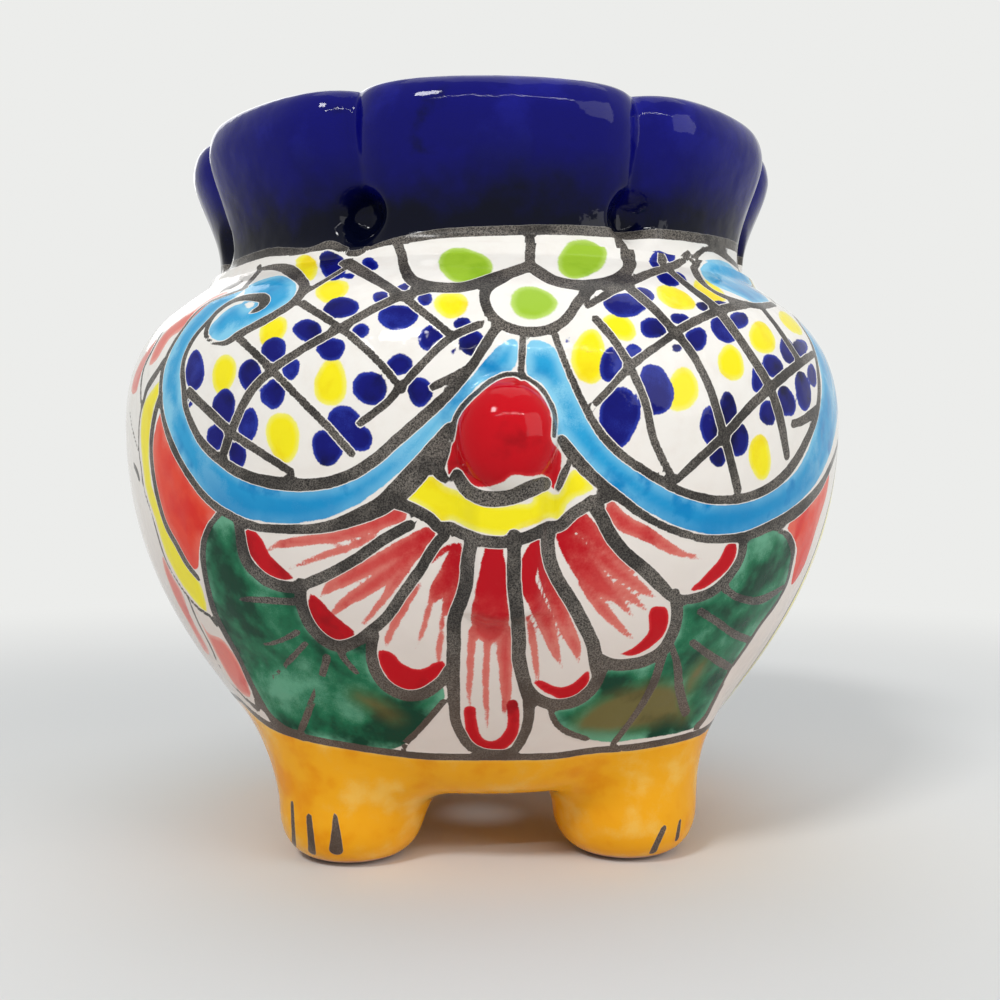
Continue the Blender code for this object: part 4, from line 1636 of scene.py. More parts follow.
def curved(knots: Points, closed: bool, step: float = 3.5) -> Points:
    """A smooth curve through knots, as points at about even steps.

    Args:
        knots: one knot a row, its first two numbers the place.
        closed: whether the curve returns to its first knot.
        step: the distance between two points.

    Returns:
        The curve's points, with the knots' other numbers drawn along.
    """
    if closed:
        ends = np.concatenate([knots[-1:], knots, knots[:2]])
    else:
        ends = np.concatenate([2 * knots[:1] - knots[1:2], knots, 2 * knots[-1:] - knots[-2:-1]])
    line = [ends[1:2]]
    for before, start, end, after in zip(ends, ends[1:], ends[2:], ends[3:]):
        count = max(2, math.ceil(np.linalg.norm((end - start)[:2]) / step) + 1)
        t = np.linspace(0.0, 1.0, count)[1:, None]
        bend = (end - before) * 0.5, (after - start) * 0.5
        line.append(
            (2 * t**3 - 3 * t * t + 1) * start
            + (t**3 - 2 * t * t + t) * bend[0]
            + (3 * t * t - 2 * t**3) * end
            + (t**3 - t * t) * bend[1]
        )
    return np.concatenate(line)


class Chart:
    """The vessel's skin laid flat: the angle from the tail and the way up its outline."""

    def __init__(self) -> None:
        """Measures the way along the outline."""
        side = np.concatenate([POT.side(), POT.collar_run()[1:]])
        steps = np.linalg.norm(np.diff(side, axis=0), axis=1)
        self.heights, self.radii = side[:, 1], side[:, 0]
        self.ways = np.concatenate([[0.0], np.cumsum(steps)])

    def flat(self, points: Points) -> Points:
        """Angle, way and radius of points on the vessel or just over it.

        Args:
            points: one point a row.

        Returns:
            An angle, a way and a radius for each point.
        """
        angle = np.arctan2(points[:, 0], -points[:, 1])
        way = np.interp(points[:, 2], self.heights, self.ways)
        radius = np.interp(points[:, 2], self.heights, self.radii)
        return np.stack([angle, way, radius], axis=1)


@dataclass
class Shape:
    """A mark laid on a chart.

    Attributes:
        paint: its colour.
        line: its points, each an angle and a way.
        half: half the stroke's width at each point, in millimetres.
        closed: whether it is a filled outline.
    """

    paint: Paint
    line: Points
    half: np.ndarray
    closed: bool

    def near(self, flat: Points, reach: float) -> np.ndarray:
        """Which charted points lie within reach of the shape's bounds.

        Args:
            flat: charted points.
            reach: how far off they may lie.

        Returns:
            The points' numbers.
        """
        low, high = self.line.min(axis=0), self.line.max(axis=0)
        around = reach + self.half.max()
        side = around / np.maximum(flat[:, 2], 20.0)
        across = (flat[:, 0] > low[0] - side) & (flat[:, 0] < high[0] + side)
        up = (flat[:, 1] > low[1] - around) & (flat[:, 1] < high[1] + around)
        return np.nonzero(across & up)[0]

    def distance(self, flat: Points) -> np.ndarray:
        """Distance in millimetres from the painted shape, below zero on it.

        Args:
            flat: charted points.

        Returns:
            A distance for each point.
        """
        line = np.concatenate([self.line, self.line[:1]]) if self.closed else self.line
        start, run = line[:-1], np.diff(line, axis=0)
        scale = flat[:, 2:3]
        across, along = (flat[:, :1] - start[:, 0]) * scale, flat[:, 1:2] - start[:, 1]
        run_across, run_along = run[:, 0] * scale, run[:, 1]
        square = run_across**2 + run_along**2 + 1e-12
        share = np.clip((across * run_across + along * run_along) / square, 0.0, 1.0)
        away = np.hypot(across - share * run_across, along - share * run_along)
        if not self.closed:
            half = self.half[:-1] + share * np.diff(self.half)
            return (np.hypot(away, ROUNDED) - np.hypot(half, ROUNDED)).min(axis=1)
        end = line[1:]
        crosses = (start[:, 1] > flat[:, 1:2]) != (end[:, 1] > flat[:, 1:2])
        rise = np.where(run[:, 1] == 0, 1e-12, run[:, 1])
        at = start[:, 0] + (flat[:, 1:2] - start[:, 1]) / rise * run[:, 0]
        inside = (crosses & (flat[:, :1] < at)).sum(axis=1) % 2 == 1
        away = away.min(axis=1)
        return np.where(inside, -away, away)


@dataclass
class Canvas:
    """All marks on the vessel, and the distances from them at any point of its chart.

    Attributes:
        eye: the place from which the marks were read.
        chart: the vessel's skin laid flat.
        reach: the greatest distance that is kept, in millimetres as the next ones are.
        finest: the least half width of an ink stroke.
        stretch: how many times wider a stroke seen aslant may get.
        border_half, base_half: half widths of the lines at the collar and over the feet.
        bold_half: the least half width of ink on the head's side.
        flank: the flank's middle as an angle from the tail.
        flank_height: its height.
        shapes: the marks of the tail's side and the flank.
        repeated: those of them that the head's side shows too.
    """

    eye: "Eye"
    chart: Chart = field(default_factory=Chart)
    reach: float = 3.0
    finest: float = 0.3
    stretch: float = 1.9
    border_half: float = 0.75
    base_half: float = 0.75
    bold_half: float = 0.5
    flank: float = math.radians(87.0)
    flank_height: float = 66.0
    shapes: list[Shape] = field(default_factory=list)
    repeated: list[Shape] = field(default_factory=list)

    def __post_init__(self) -> None:
        """Lays the painting of the tail's side, and its two edges, on the chart."""
        for mark in (*EDGE_MARKS, *BACK_PAINTING):
            self.lay(mark)
        self.collar_edge = self.chart_line(curved(numbers_in(COLLAR_EDGE), False))
        self.base_edge = self.chart_line(curved(numbers_in(BASE_EDGE), False))
        for mark in FLANK_PAINTING:
            self.lay_on_flank(mark)
        for shape in self.shapes[len(EDGE_MARKS) :]:
            thin = 0.0 if shape.closed or shape.paint != Paint.INK else self.bold_half
            half = np.maximum(shape.half, thin)
            self.repeated.append(Shape(shape.paint, shape.line, half, shape.closed))

    def chart_line(self, pixels: Points) -> Points:
        """Where the frame's points lie on the chart."""
        return self.chart.flat(self.eye.cast(pixels, VESSEL.distance))[:, :2]

    def lay(self, mark: Mark) -> None:
        """Adds one mark; a stroke is made as wide on the pot as it looks from the eye.

        Args:
            mark: a mark given in the frame's columns and rows.
        """
        line = curved(numbers_in(mark.points, mark.width), mark.closed)
        points = self.eye.cast(line[:, :2], VESSEL.distance)
        flat = self.chart.flat(points)
        half = np.zeros(len(line))
        if not mark.closed:
            wide = np.maximum(line[:, 2:3], 0.5) / 2
            along = unit(np.gradient(line[:, :2], axis=0))
            aside = np.stack([-along[:, 1], along[:, 0]], axis=1) * wide
            gap = self.chart_line(line[:, :2] + aside) - self.chart_line(line[:, :2] - aside)
            plain = wide[:, 0] * self.eye.depth(points) / self.eye.focal
            laid = np.hypot(gap[:, 0] * flat[:, 2], gap[:, 1]) / 2
            half = eased(np.clip(laid, plain, plain * self.stretch), 4)
            if mark.paint == Paint.INK:
                half = np.maximum(half, self.finest)
        self.shapes.append(Shape(mark.paint, eased(flat[:, :2], 2), half, mark.closed))

    def lay_on_flank(self, mark: Mark) -> None:
        """Adds a mark given in millimetres from the flank's middle, kept between the two edges.

        Args:
            mark: the mark.
        """
        line = curved(numbers_in(mark.points, mark.width), mark.closed, step=0.8)
        angle = self.flank + line[:, 0] / POT.belly_radius
        way = float(np.interp(self.flank_height, self.chart.heights, self.chart.ways)) + line[:, 1]
        low, high = self.edge_at(self.base_edge, angle), self.edge_at(self.collar_edge, angle)
        flat = np.stack([angle, np.clip(way, low, high)], axis=1)
        self.shapes.append(Shape(mark.paint, flat, line[:, 2] / 2, mark.closed))

    def edge_at(self, edge: Points, angle: np.ndarray) -> np.ndarray:
        """The way of an edge all round, repeated on the head's side."""
        order = np.argsort(edge[:, 0])
        return np.interp(angle, edge[order, 0], edge[order, 1], period=math.pi)

    def fields(self, flat: Points) -> np.ndarray:
        """The distances from every paint at charted points.

        Args:
            flat: one angle, way and radius a row.

        Returns:
            One row a point, with a distance for each paint, at most the reach.
        """
        found = np.full((len(flat), len(Paint)), self.reach)
        turned = flat.copy()
        turned[:, 0] = np.where(flat[:, 0] > 0, flat[:, 0] - math.pi, flat[:, 0] + math.pi)
        for view, shapes in ((flat, self.shapes), (turned, self.repeated)):
            for shape in shapes:
                near = shape.near(view, self.reach)
                if len(near):
                    column = found[near, shape.paint.value]
                    found[near, shape.paint.value] = np.minimum(column, shape.distance(view[near]))
        over = self.edge_at(self.collar_edge, flat[:, 0]) - flat[:, 1]
        under = flat[:, 1] - self.edge_at(self.base_edge, flat[:, 0])
        ink = np.minimum(np.abs(over) - self.border_half, np.abs(under) - self.base_half)
        put(found, Paint.INK, ink)
        found[:, Paint.COLLAR.value] = np.clip(over, -self.reach, self.reach)
        found[:, Paint.AMBER.value] = np.clip(under, -self.reach, self.reach)
        return found

    def through_eye(self, points: Points) -> np.ndarray:
        """The distances at points that stand over the vessel, as the eye sees them on it."""
        seen = self.eye.cast(self.eye.seen(points), VESSEL.distance)
        return self.fields(self.chart.flat(seen))


def put(fields: np.ndarray, paint: Paint, distance: np.ndarray) -> None:
    """Adds a mark to those of its paint, by its distance from each point."""
    column = fields[:, paint.value]
    np.minimum(column, distance, out=column)


def store(piece: bpy.types.Object, name: str, values: np.ndarray) -> None:
    """Keeps three numbers for each of a piece's points."""
    layer = piece.data.attributes.new(name, "FLOAT_VECTOR", "POINT")
    layer.data.foreach_set("vector", values.astype(np.float32).ravel())


def coat(piece: bpy.types.Object, fields: np.ndarray, bare: np.ndarray) -> None:
    """Keeps the paints' distances and the glaze's bareness on a piece, the last paint's beside it.

    Args:
        piece: the piece.
        fields: a distance for each paint at each point.
        bare: how far each point is without glaze, 0 to 1.
    """
    for number in range(len(Paint) // 3):
        store(piece, f"paint_{number}", fields[:, 3 * number : 3 * number + 3])
    store(piece, "traits", np.stack([bare, fields[:, -1], np.zeros_like(bare)], axis=1))


def inward(piece: bpy.types.Object) -> np.ndarray:
    """How far each point of a piece faces the pot's axis, 0 to 1.

    Args:
        piece: the piece.

    Returns:
        A share for each point.
    """
    normals = np.empty(len(piece.data.vertices) * 3, np.float32)
    piece.data.vertex_normals.foreach_get("vector", normals)
    points = points_of(piece) * (1.0, 1.0, 0.0)
    return np.clip(-(normals.reshape(-1, 3) * unit(points)).sum(axis=1) * 3, 0.0, 1.0)


# Glazes


def srgb(red: int, green: int, blue: int) -> tuple[float, float, float, float]:
    """A colour given in 8-bit steps, as a shader needs it."""
    parts = [part / 255 for part in (red, green, blue)]
    return (*[p / 12.92 if p <= 0.04045 else ((p + 0.055) / 1.055) ** 2.4 for p in parts], 1.0)


Socket = bpy.types.NodeSocket
Value = Socket | float | tuple


class Tree:
    """Short ways to add nodes to a node tree and join them."""

    def __init__(self, tree: bpy.types.NodeTree) -> None:
        """Takes the tree to work on."""
        self.tree = tree

    def feed(self, socket: Socket, value: Value) -> None:
        """Links a socket to another one, or sets it to a value.

        Args:
            socket: the input to feed.
            value: another socket, or a number or colour.
        """
        if isinstance(value, Socket):
            self.tree.links.new(value, socket)
        else:
            socket.default_value = value

    def add(
        self, kind: str, inputs: dict[str | int, Value] | None = None, **settings: object
    ) -> bpy.types.Node:
        """Adds a node with its settings and inputs.

        Args:
            kind: the node's kind.
            inputs: what feeds its inputs, by name or number.
            settings: the node's own settings.

        Returns:
            The node.
        """
        node = self.tree.nodes.new(f"ShaderNode{kind}")
        for name, value in settings.items():
            setattr(node, name, value)
        for key, value in (inputs or {}).items():
            self.feed(node.inputs[key], value)
        return node

    def math(self, operation: str, *values: Value) -> Socket:
        """The result of a Math node."""
        return self.add("Math", dict(enumerate(values)), operation=operation).outputs[0]

    def times(self, value: Value, factor: Value) -> Socket:
        """A value times another."""
        return self.math("MULTIPLY", value, factor)

    def plus(self, first: Value, *others: Value) -> Socket:
        """The sum of values."""
        for other in others:
            first = self.math("ADD", first, other)
        return first

    def step(
        self, value: Value, low: Value, high: Value, start: float = 0.0, end: float = 1.0
    ) -> Socket:
        """A smooth step of a value from one number to another."""
        inputs = {0: value, 1: low, 2: high, 3: start, 4: end}
        return self.add("MapRange", inputs, interpolation_type="SMOOTHSTEP").outputs[0]

    def layer(self, share: Value, under: Value, over: Value) -> Socket:
        """A colour laid over another by a share."""
        return self.add("Mix", {0: share, 6: under, 7: over}, data_type="RGBA").outputs[2]

    def noise(self, place: Value, scale: float, detail: float = 2.0, rough: float = 0.5) -> Socket:
        """A cloudy value about 0.5."""
        inputs = {"Vector": place, "Scale": scale, "Detail": detail, "Roughness": rough}
        return self.add("TexNoise", inputs).outputs[0]

    def vector(self, operation: str, *values: Value) -> bpy.types.Node:
        """A Vector Math node."""
        return self.add("VectorMath", dict(enumerate(values)), operation=operation)

    def parts(self, value: Value) -> list[Socket]:
        """The three numbers of a vector."""
        return list(self.add("SeparateXYZ", {0: value}).outputs)

    def kept(self, name: str) -> list[Socket]:
        """The three numbers that a piece keeps under a name."""
        return self.parts(self.add("Attribute", attribute_name=name).outputs["Vector"])

    def place_mm(self) -> Socket:
        """A piece's own coordinates in millimetres from the pot's axis."""
        metres = self.add("TexCoord").outputs["Object"]
        return self.vector("MULTIPLY_ADD", metres, (1 / MM,) * 3, (0.0, -AXIS_Y, 0.0)).outputs[0]

    def group(self, group: bpy.types.NodeTree, inputs: dict[str, Value]) -> bpy.types.Node:
        """A node that runs a node group.

        Args:
            group: the group.
            inputs: what feeds its inputs, by name.

        Returns:
            The node.
        """
        node = self.tree.nodes.new("ShaderNodeGroup")
        node.node_tree = group
        for name, value in inputs.items():
            self.feed(node.inputs[name], value)
        return node


def new_group(
    name: str, inputs: dict[str, str], outputs: dict[str, str]
) -> tuple[Tree, dict, dict]:
    """Starts a node group.

    Args:
        name: its name.
        inputs: the kind of each input socket, by name.
        outputs: the kind of each output socket, by name.

    Returns:
        The tree, its input sockets and its output sockets by name.
    """
    group = bpy.data.node_groups.new(name, "ShaderNodeTree")
    for way, sockets in (("INPUT", inputs), ("OUTPUT", outputs)):
        for label, kind in sockets.items():
            group.interface.new_socket(label, in_out=way, socket_type=f"NodeSocket{kind}")
    start, end = group.nodes.new("NodeGroupInput"), group.nodes.new("NodeGroupOutput")
    return Tree(group), dict(start.outputs.items()), dict(end.inputs.items())


def new_material(name: str) -> tuple[bpy.types.Material, Tree, bpy.types.Node]:
    """A new material with its tree and its shader."""
    material = bpy.data.materials.new(name)
    material.use_nodes = True
    return material, Tree(material.node_tree), material.node_tree.nodes["Principled BSDF"]


@dataclass
class Effects:
    """The node groups that the glazes share; reliefs are in millimetres."""

    wave: float = 0.35
    dent: float = 0.05
    skin: float = 0.004
    clay: float = 0.12
    sway: float = 0.55
    tremble: float = 0.28
    ink: tuple = srgb(42, 40, 39)
    crystal: tuple = srgb(128, 121, 113)
    thick_ink: tuple = srgb(38, 36, 35)
    brown_ink: tuple = srgb(104, 84, 72)

    def __post_init__(self) -> None:
        """Builds every group once."""
        self.waver_group = self.build_waver()
        self.brush_group = self.build_brush()
        self.relief_group = self.build_relief()
        self.ink_group = self.build_ink()

    def build_waver(self) -> bpy.types.NodeTree:
        """The brush's waver: a wobble for edges, clouds of two sizes, and a grain."""
        outputs = dict.fromkeys(("Wobble", "Cloud", "Patch", "Grain"), "Float")
        tree, start, end = new_group("brush_waver", {"Place": "Vector"}, outputs)
        place = start["Place"]
        slow, quick = tree.noise(place, 0.55, 1.0), tree.noise(place, 3.2)
        wobble = tree.plus(tree.times(slow, self.sway), tree.times(quick, self.tremble))
        tree.feed(end["Wobble"], tree.math("SUBTRACT", wobble, (self.sway + self.tremble) / 2))
        cloud, wide = tree.noise(place, 0.3, 4.0, 0.6), tree.noise(place, 0.11)
        tree.feed(end["Cloud"], cloud)
        tree.feed(end["Patch"], tree.plus(tree.times(wide, 0.7), tree.times(cloud, 0.3)))
        tree.feed(end["Grain"], tree.noise(place, 5.5, 3.0, 0.65))
        return tree.tree

    def build_brush(self) -> bpy.types.NodeTree:
        """How far a paint covers a point, kept off the ink by a halo."""
        inputs = dict.fromkeys(("Distance", "Ink", "Halo", "Wobble", "Soft"), "Float")
        outputs = {"Cover": "Float", "Inside": "Float"}
        tree, start, end = new_group("brush_cover", inputs, outputs)
        moved = tree.plus(start["Distance"], start["Wobble"])
        cover = tree.step(moved, start["Soft"], tree.times(start["Soft"], -1.0))
        clear = tree.step(tree.math("SUBTRACT", start["Ink"], start["Halo"]), -0.04, 0.06)
        tree.feed(end["Cover"], tree.times(cover, clear))
        tree.feed(end["Inside"], tree.times(moved, -1.0))
        return tree.tree

    def build_relief(self) -> bpy.types.NodeTree:
        """The bump of a dipped glaze: soft waves, dents and a fine skin, or bare clay."""
        inputs = {"Place": "Vector", "Raised": "Float", "Bare": "Float"}
        tree, start, end = new_group("glaze_relief", inputs, {"Normal": "Vector"})
        place = start["Place"]
        waves = tree.times(tree.noise(place, 0.12), self.wave)
        dents = tree.times(tree.noise(place, 0.5), self.dent)
        skin = tree.times(tree.noise(place, 3.0), self.skin)
        clay = tree.times(tree.noise(place, 4.0, 5.0, 0.7), self.clay)
        height = tree.plus(waves, dents, skin, start["Raised"], tree.times(clay, start["Bare"]))
        bump = tree.add("Bump", {"Strength": 1.0, "Distance": MM, "Height": height})
        tree.feed(end["Normal"], bump.outputs[0])
        return tree.tree

    def build_ink(self) -> bpy.types.NodeTree:
        """Grey-black underglaze ink with fine crystals in it, browner low on the pot."""
        inputs = {"Place": "Vector", "Patch": "Float", "Low": "Float"}
        tree, start, end = new_group("speckled_ink", inputs, {"Colour": "Color"})
        fine = tree.step(tree.noise(start["Place"], 4.5, 3.0, 0.75), 0.36, 0.64)
        thick = tree.times(tree.step(start["Patch"], 0.46, 0.6), 0.65)
        colour = tree.layer(thick, tree.layer(fine, self.ink, self.crystal), self.thick_ink)
        tree.feed(end["Colour"], tree.layer(tree.times(start["Low"], 0.5), colour, self.brown_ink))
        return tree.tree


@dataclass(frozen=True)
class Pigment:
    """How one paint looks.

    Attributes:
        paint: which paint.
        edge: its colour where it runs out or lies thin, in 8-bit steps as the next two are.
        body: its usual colour.
        deep: its colour where it pooled, and the colour of its painted shade low down.
        build: how many millimetres it takes from edge to body.
        halo: how far it keeps off the ink.
        soft: half the width of its edge.
        unsteady: how strongly its edge wobbles.
        grainy: how strongly the brush's grain breaks its edge.
        thin: how strongly it lies thin in patches.
        pool: between which patch values it deepens.
        sink: between which heights, falling, it turns to its deep colour, if any: painted shade low
            on the pot.
        heart: between which distances from the fan's heart, falling, it deepens, if any.
    """

    paint: Paint
    edge: tuple[int, int, int]
    body: tuple[int, int, int]
    deep: tuple[int, int, int]
    build: float = 1.0
    halo: float = 0.1
    soft: float = 0.1
    unsteady: float = 1.0
    grainy: float = 0.0
    thin: float = 0.0
    pool: tuple[float, float] = (0.5, 0.66)
    sink: tuple[float, float] | None = None
    heart: tuple[float, float] | None = None


PIGMENTS = (
    Pigment(Paint.PINK, (238, 166, 152), (230, 118, 104), (218, 88, 80), 1.2, grainy=0.4),
    Pigment(
        Paint.STREAK, (220, 122, 110), (210, 74, 70), (188, 14, 28), 0.9,
        grainy=0.3, thin=0.9, pool=(0.56, 0.72), heart=(19.0, 7.0),
    ),
    # The sink of coral, sky and collar below paints shade low on the pot.
    Pigment(
        Paint.CORAL, (236, 112, 92), (234, 66, 40), (224, 40, 26), 2.4, thin=0.8, sink=(58.0, 40.0)
    ),
    Pigment(Paint.YELLOW, (246, 238, 108), (250, 234, 28), (242, 216, 16), soft=0.18),
    Pigment(Paint.LIME, (186, 214, 104), (158, 196, 52), (140, 182, 40), soft=0.2),
    Pigment(
        Paint.SKY, (132, 204, 234), (44, 162, 214), (6, 132, 194), 2.0, thin=1.0, sink=(70.0, 50.0)
    ),
    Pigment(
        Paint.GREEN, (104, 168, 136), (30, 112, 76), (8, 62, 42), 2.2,
        halo=-0.1, thin=0.9, pool=(0.46, 0.6),
    ),
    Pigment(Paint.OLIVE, (84, 108, 66), (112, 102, 56), (88, 80, 40), 2.0, halo=-0.1, soft=2.2),
    Pigment(Paint.RED, (212, 40, 46), (196, 8, 24), (158, 4, 18), 0.6),
    Pigment(
        Paint.COBALT, (36, 52, 156), (12, 16, 112), (6, 5, 58), 0.7,
        halo=0.12, unsteady=1.2, thin=0.8,
    ),
    Pigment(Paint.AMBER, (247, 198, 96), (246, 172, 28), (238, 152, 10), 1.6, halo=0.0, thin=0.7),
    # The collar's sink paints near-black shade low on the collar, round the neck and in the
    # dimples.
    Pigment(
        Paint.COLLAR, (22, 24, 132), (9, 9, 106), (3, 6, 26), 0.5,
        halo=0.0, thin=0.7, pool=(0.6, 0.8), sink=(112.0, 99.0),
    ),
)


class Surface:
    """What a material's nodes read of the surface that they are on."""

    def __init__(self, tree: Tree, effects: Effects) -> None:
        """Adds the nodes that read it.

        Args:
            tree: the material's nodes.
            effects: the shared node groups.
        """
        self.tree, self.effects = tree, effects
        self.place = tree.place_mm()
        self.height = tree.parts(self.place)[2]
        self.waver = tree.group(effects.waver_group, {"Place": self.place}).outputs

    def cloudy(self, low: float, high: float, amount: float) -> Socket:
        """The clouds as a share up to an amount."""
        return self.tree.times(self.tree.step(self.waver["Cloud"], low, high), amount)

    def relief(self, raised: Value, bare: Value) -> Socket:
        """The glaze's bump, raised by a height and roughened where the clay is bare."""
        inputs = {"Place": self.place, "Raised": raised, "Bare": bare}
        return self.tree.group(self.effects.relief_group, inputs).outputs[0]


@dataclass(frozen=True)
class PaintedGlaze:
    """White glaze over clay, painted with underglaze colours.

    Attributes:
        name: the material's name.
        paints: the paints that this material shows.
        ground: the glaze's colour high on the pot.
        low_shaded_ground: its darker, warmer colour low down, painted shade of the lower belly.
        cloudy_ground, speck: the colours of its faint clouds and rare specks.
        clay, dusty_clay, dark_clay: the bare clay's colours.
        gloss: the glaze's roughness.
        gloss_spread, ink_gloss: what clouds and ink add to it.
        specular: how strongly the glaze mirrors.
        ink_wobble, paint_wobble: how many millimetres the edges of ink and paint wander.
        low_shade_wobble, heart_wobble: how many millimetres the bounds of the painted low shade and
            of the petals' deepening wander.
        ink_rise: how far the ink stands proud, in millimetres.
        ground_shade_heights, ink_heights: between which heights the ground turns to its painted low
            shade and the ink turns browner.
        fan_heart: the middle of the petals' fan, folded to the sides above zero.
    """

    name: str
    paints: tuple[Paint, ...]
    ground: tuple = srgb(243, 239, 232)
    low_shaded_ground: tuple = srgb(228, 214, 205)
    cloudy_ground: tuple = srgb(232, 222, 212)
    speck: tuple = srgb(150, 128, 110)
    clay: tuple = srgb(206, 150, 118)
    dusty_clay: tuple = srgb(226, 190, 160)
    dark_clay: tuple = srgb(188, 128, 98)
    gloss: float = 0.035
    gloss_spread: float = 0.05
    ink_gloss: float = 0.14
    clay_roughness: float = 0.85
    specular: float = 0.13
    ink_wobble: float = 0.35
    paint_wobble: float = 0.7
    low_shade_wobble: float = 20.0
    heart_wobble: float = 14.0
    ink_rise: float = 0.03
    ground_shade_heights: tuple[float, float] = (80.0, 25.0)
    ink_heights: tuple[float, float] = (44.0, 24.0)
    fan_heart: tuple[float, float, float] = (0.0, 62.0, 54.0)

    def build(self, effects: Effects) -> bpy.types.Material:
        """Builds the material.

        Args:
            effects: the shared node groups.

        Returns:
            The material.
        """
        material, tree, shader = new_material(self.name)
        surface = Surface(tree, effects)
        distances = []
        for number in range(len(Paint) // 3):
            distances += tree.kept(f"paint_{number}")
        bareness, olive, _ = tree.kept("traits")
        distances.append(olive)
        wobble = surface.waver["Wobble"]
        ink = tree.plus(distances[Paint.INK.value], tree.times(wobble, self.ink_wobble))
        colour = self.ground_colour(surface)
        for pigment in PIGMENTS:
            if pigment.paint in self.paints:
                distance = distances[pigment.paint.value]
                cover, paint = self.brushed(surface, pigment, distance, ink)
                colour = tree.layer(cover, colour, paint)
        inked = tree.step(ink, 0.06, -0.04)
        low = tree.step(surface.height, *self.ink_heights)
        inputs = {"Place": surface.place, "Patch": surface.waver["Patch"], "Low": low}
        colour = tree.layer(inked, colour, tree.group(effects.ink_group, inputs).outputs[0])
        clay = tree.layer(tree.step(surface.waver["Grain"], 0.3, 0.7), self.clay, self.dusty_clay)
        clay = tree.layer(surface.cloudy(0.35, 0.7, 0.5), clay, self.dark_clay)
        worn = tree.step(tree.plus(bareness, tree.times(wobble, 0.5)), 0.42, 0.58)
        tree.feed(shader.inputs["Base Color"], tree.layer(worn, colour, clay))
        rough = tree.plus(self.gloss, surface.cloudy(0.4, 0.8, self.gloss_spread))
        rough = tree.plus(rough, tree.times(inked, self.ink_gloss))
        rough = tree.math("MAXIMUM", rough, tree.times(worn, self.clay_roughness))
        tree.feed(shader.inputs["Roughness"], rough)
        raised = tree.times(tree.step(ink, 0.35, -0.15), self.ink_rise)
        tree.feed(shader.inputs["Normal"], surface.relief(raised, worn))
        shader.inputs["IOR"].default_value = 1.5
        shader.inputs["Specular IOR Level"].default_value = self.specular
        return material

    def ground_colour(self, surface: Surface) -> Socket:
        """The white glaze, darker and warmer low down as painted shade, with faint clouds and rare
        specks.

        Args:
            surface: what the glaze lies on.

        Returns:
            The colour.
        """
        tree = surface.tree
        # Painted shade: the white ground darkens and warms towards the bottom of the pot.
        low_shade_share = tree.step(surface.height, *self.ground_shade_heights)
        colour = tree.layer(low_shade_share, self.ground, self.low_shaded_ground)
        colour = tree.layer(surface.cloudy(0.42, 0.72, 0.35), colour, self.cloudy_ground)
        specks = tree.step(tree.noise(surface.place, 1.1, 3.0, 0.8), 0.76, 0.8)
        return tree.layer(tree.times(specks, 0.6), colour, self.speck)

    def brushed(
        self, surface: Surface, pigment: Pigment, distance: Socket, ink: Socket
    ) -> tuple[Socket, Socket]:
        """One paint's share and colour over a surface.

        Args:
            surface: the surface.
            pigment: how the paint looks.
            distance: the distance from the paint's marks.
            ink: the distance from the ink.

        Returns:
            How far the paint covers, and its colour.
        """
        tree, waver = surface.tree, surface.waver
        unsteady = tree.times(waver["Wobble"], self.paint_wobble * pigment.unsteady)
        if pigment.grainy:
            grain = tree.math("SUBTRACT", waver["Grain"], 0.5)
            unsteady = tree.plus(unsteady, tree.times(grain, pigment.grainy))
        inputs = {
            "Distance": distance,
            "Ink": ink,
            "Halo": pigment.halo,
            "Wobble": unsteady,
            "Soft": pigment.soft,
        }
        brush = tree.group(surface.effects.brush_group, inputs).outputs
        speckled = tree.plus(waver["Patch"], tree.times(waver["Grain"], 0.14))
        thinned = tree.times(tree.step(speckled, 0.56, 0.4), pigment.thin)
        full = tree.math("SUBTRACT", tree.step(brush["Inside"], 0.0, pigment.build), thinned)
        deep_and_shaded = tree.step(waver["Patch"], *pigment.pool)
        # Painted shade: below the sink heights the paint darkens to its deep colour, low on the
        # belly and round the collar's neck and dimples.
        if pigment.sink:
            unlevel = tree.math("SUBTRACT", waver["Patch"], 0.5)
            unlevel = tree.times(unlevel, self.low_shade_wobble)
            shaded_low = tree.step(tree.plus(surface.height, unlevel), *pigment.sink)
            deep_and_shaded = tree.math("MAXIMUM", deep_and_shaded, shaded_low)
        if pigment.heart:
            folded = tree.vector("ABSOLUTE", surface.place).outputs[0]
            away = tree.vector("DISTANCE", folded, self.fan_heart).outputs["Value"]
            away = tree.plus(away, tree.times(waver["Wobble"], self.heart_wobble))
            deep_and_shaded = tree.math("MAXIMUM", deep_and_shaded, tree.step(away, *pigment.heart))
        edge, body, deep = (srgb(*tone) for tone in (pigment.edge, pigment.body, pigment.deep))
        return brush["Cover"], tree.layer(deep_and_shaded, tree.layer(full, edge, body), deep)


VESSEL_PAINTS = tuple(paint for paint in Paint if paint != Paint.INK)


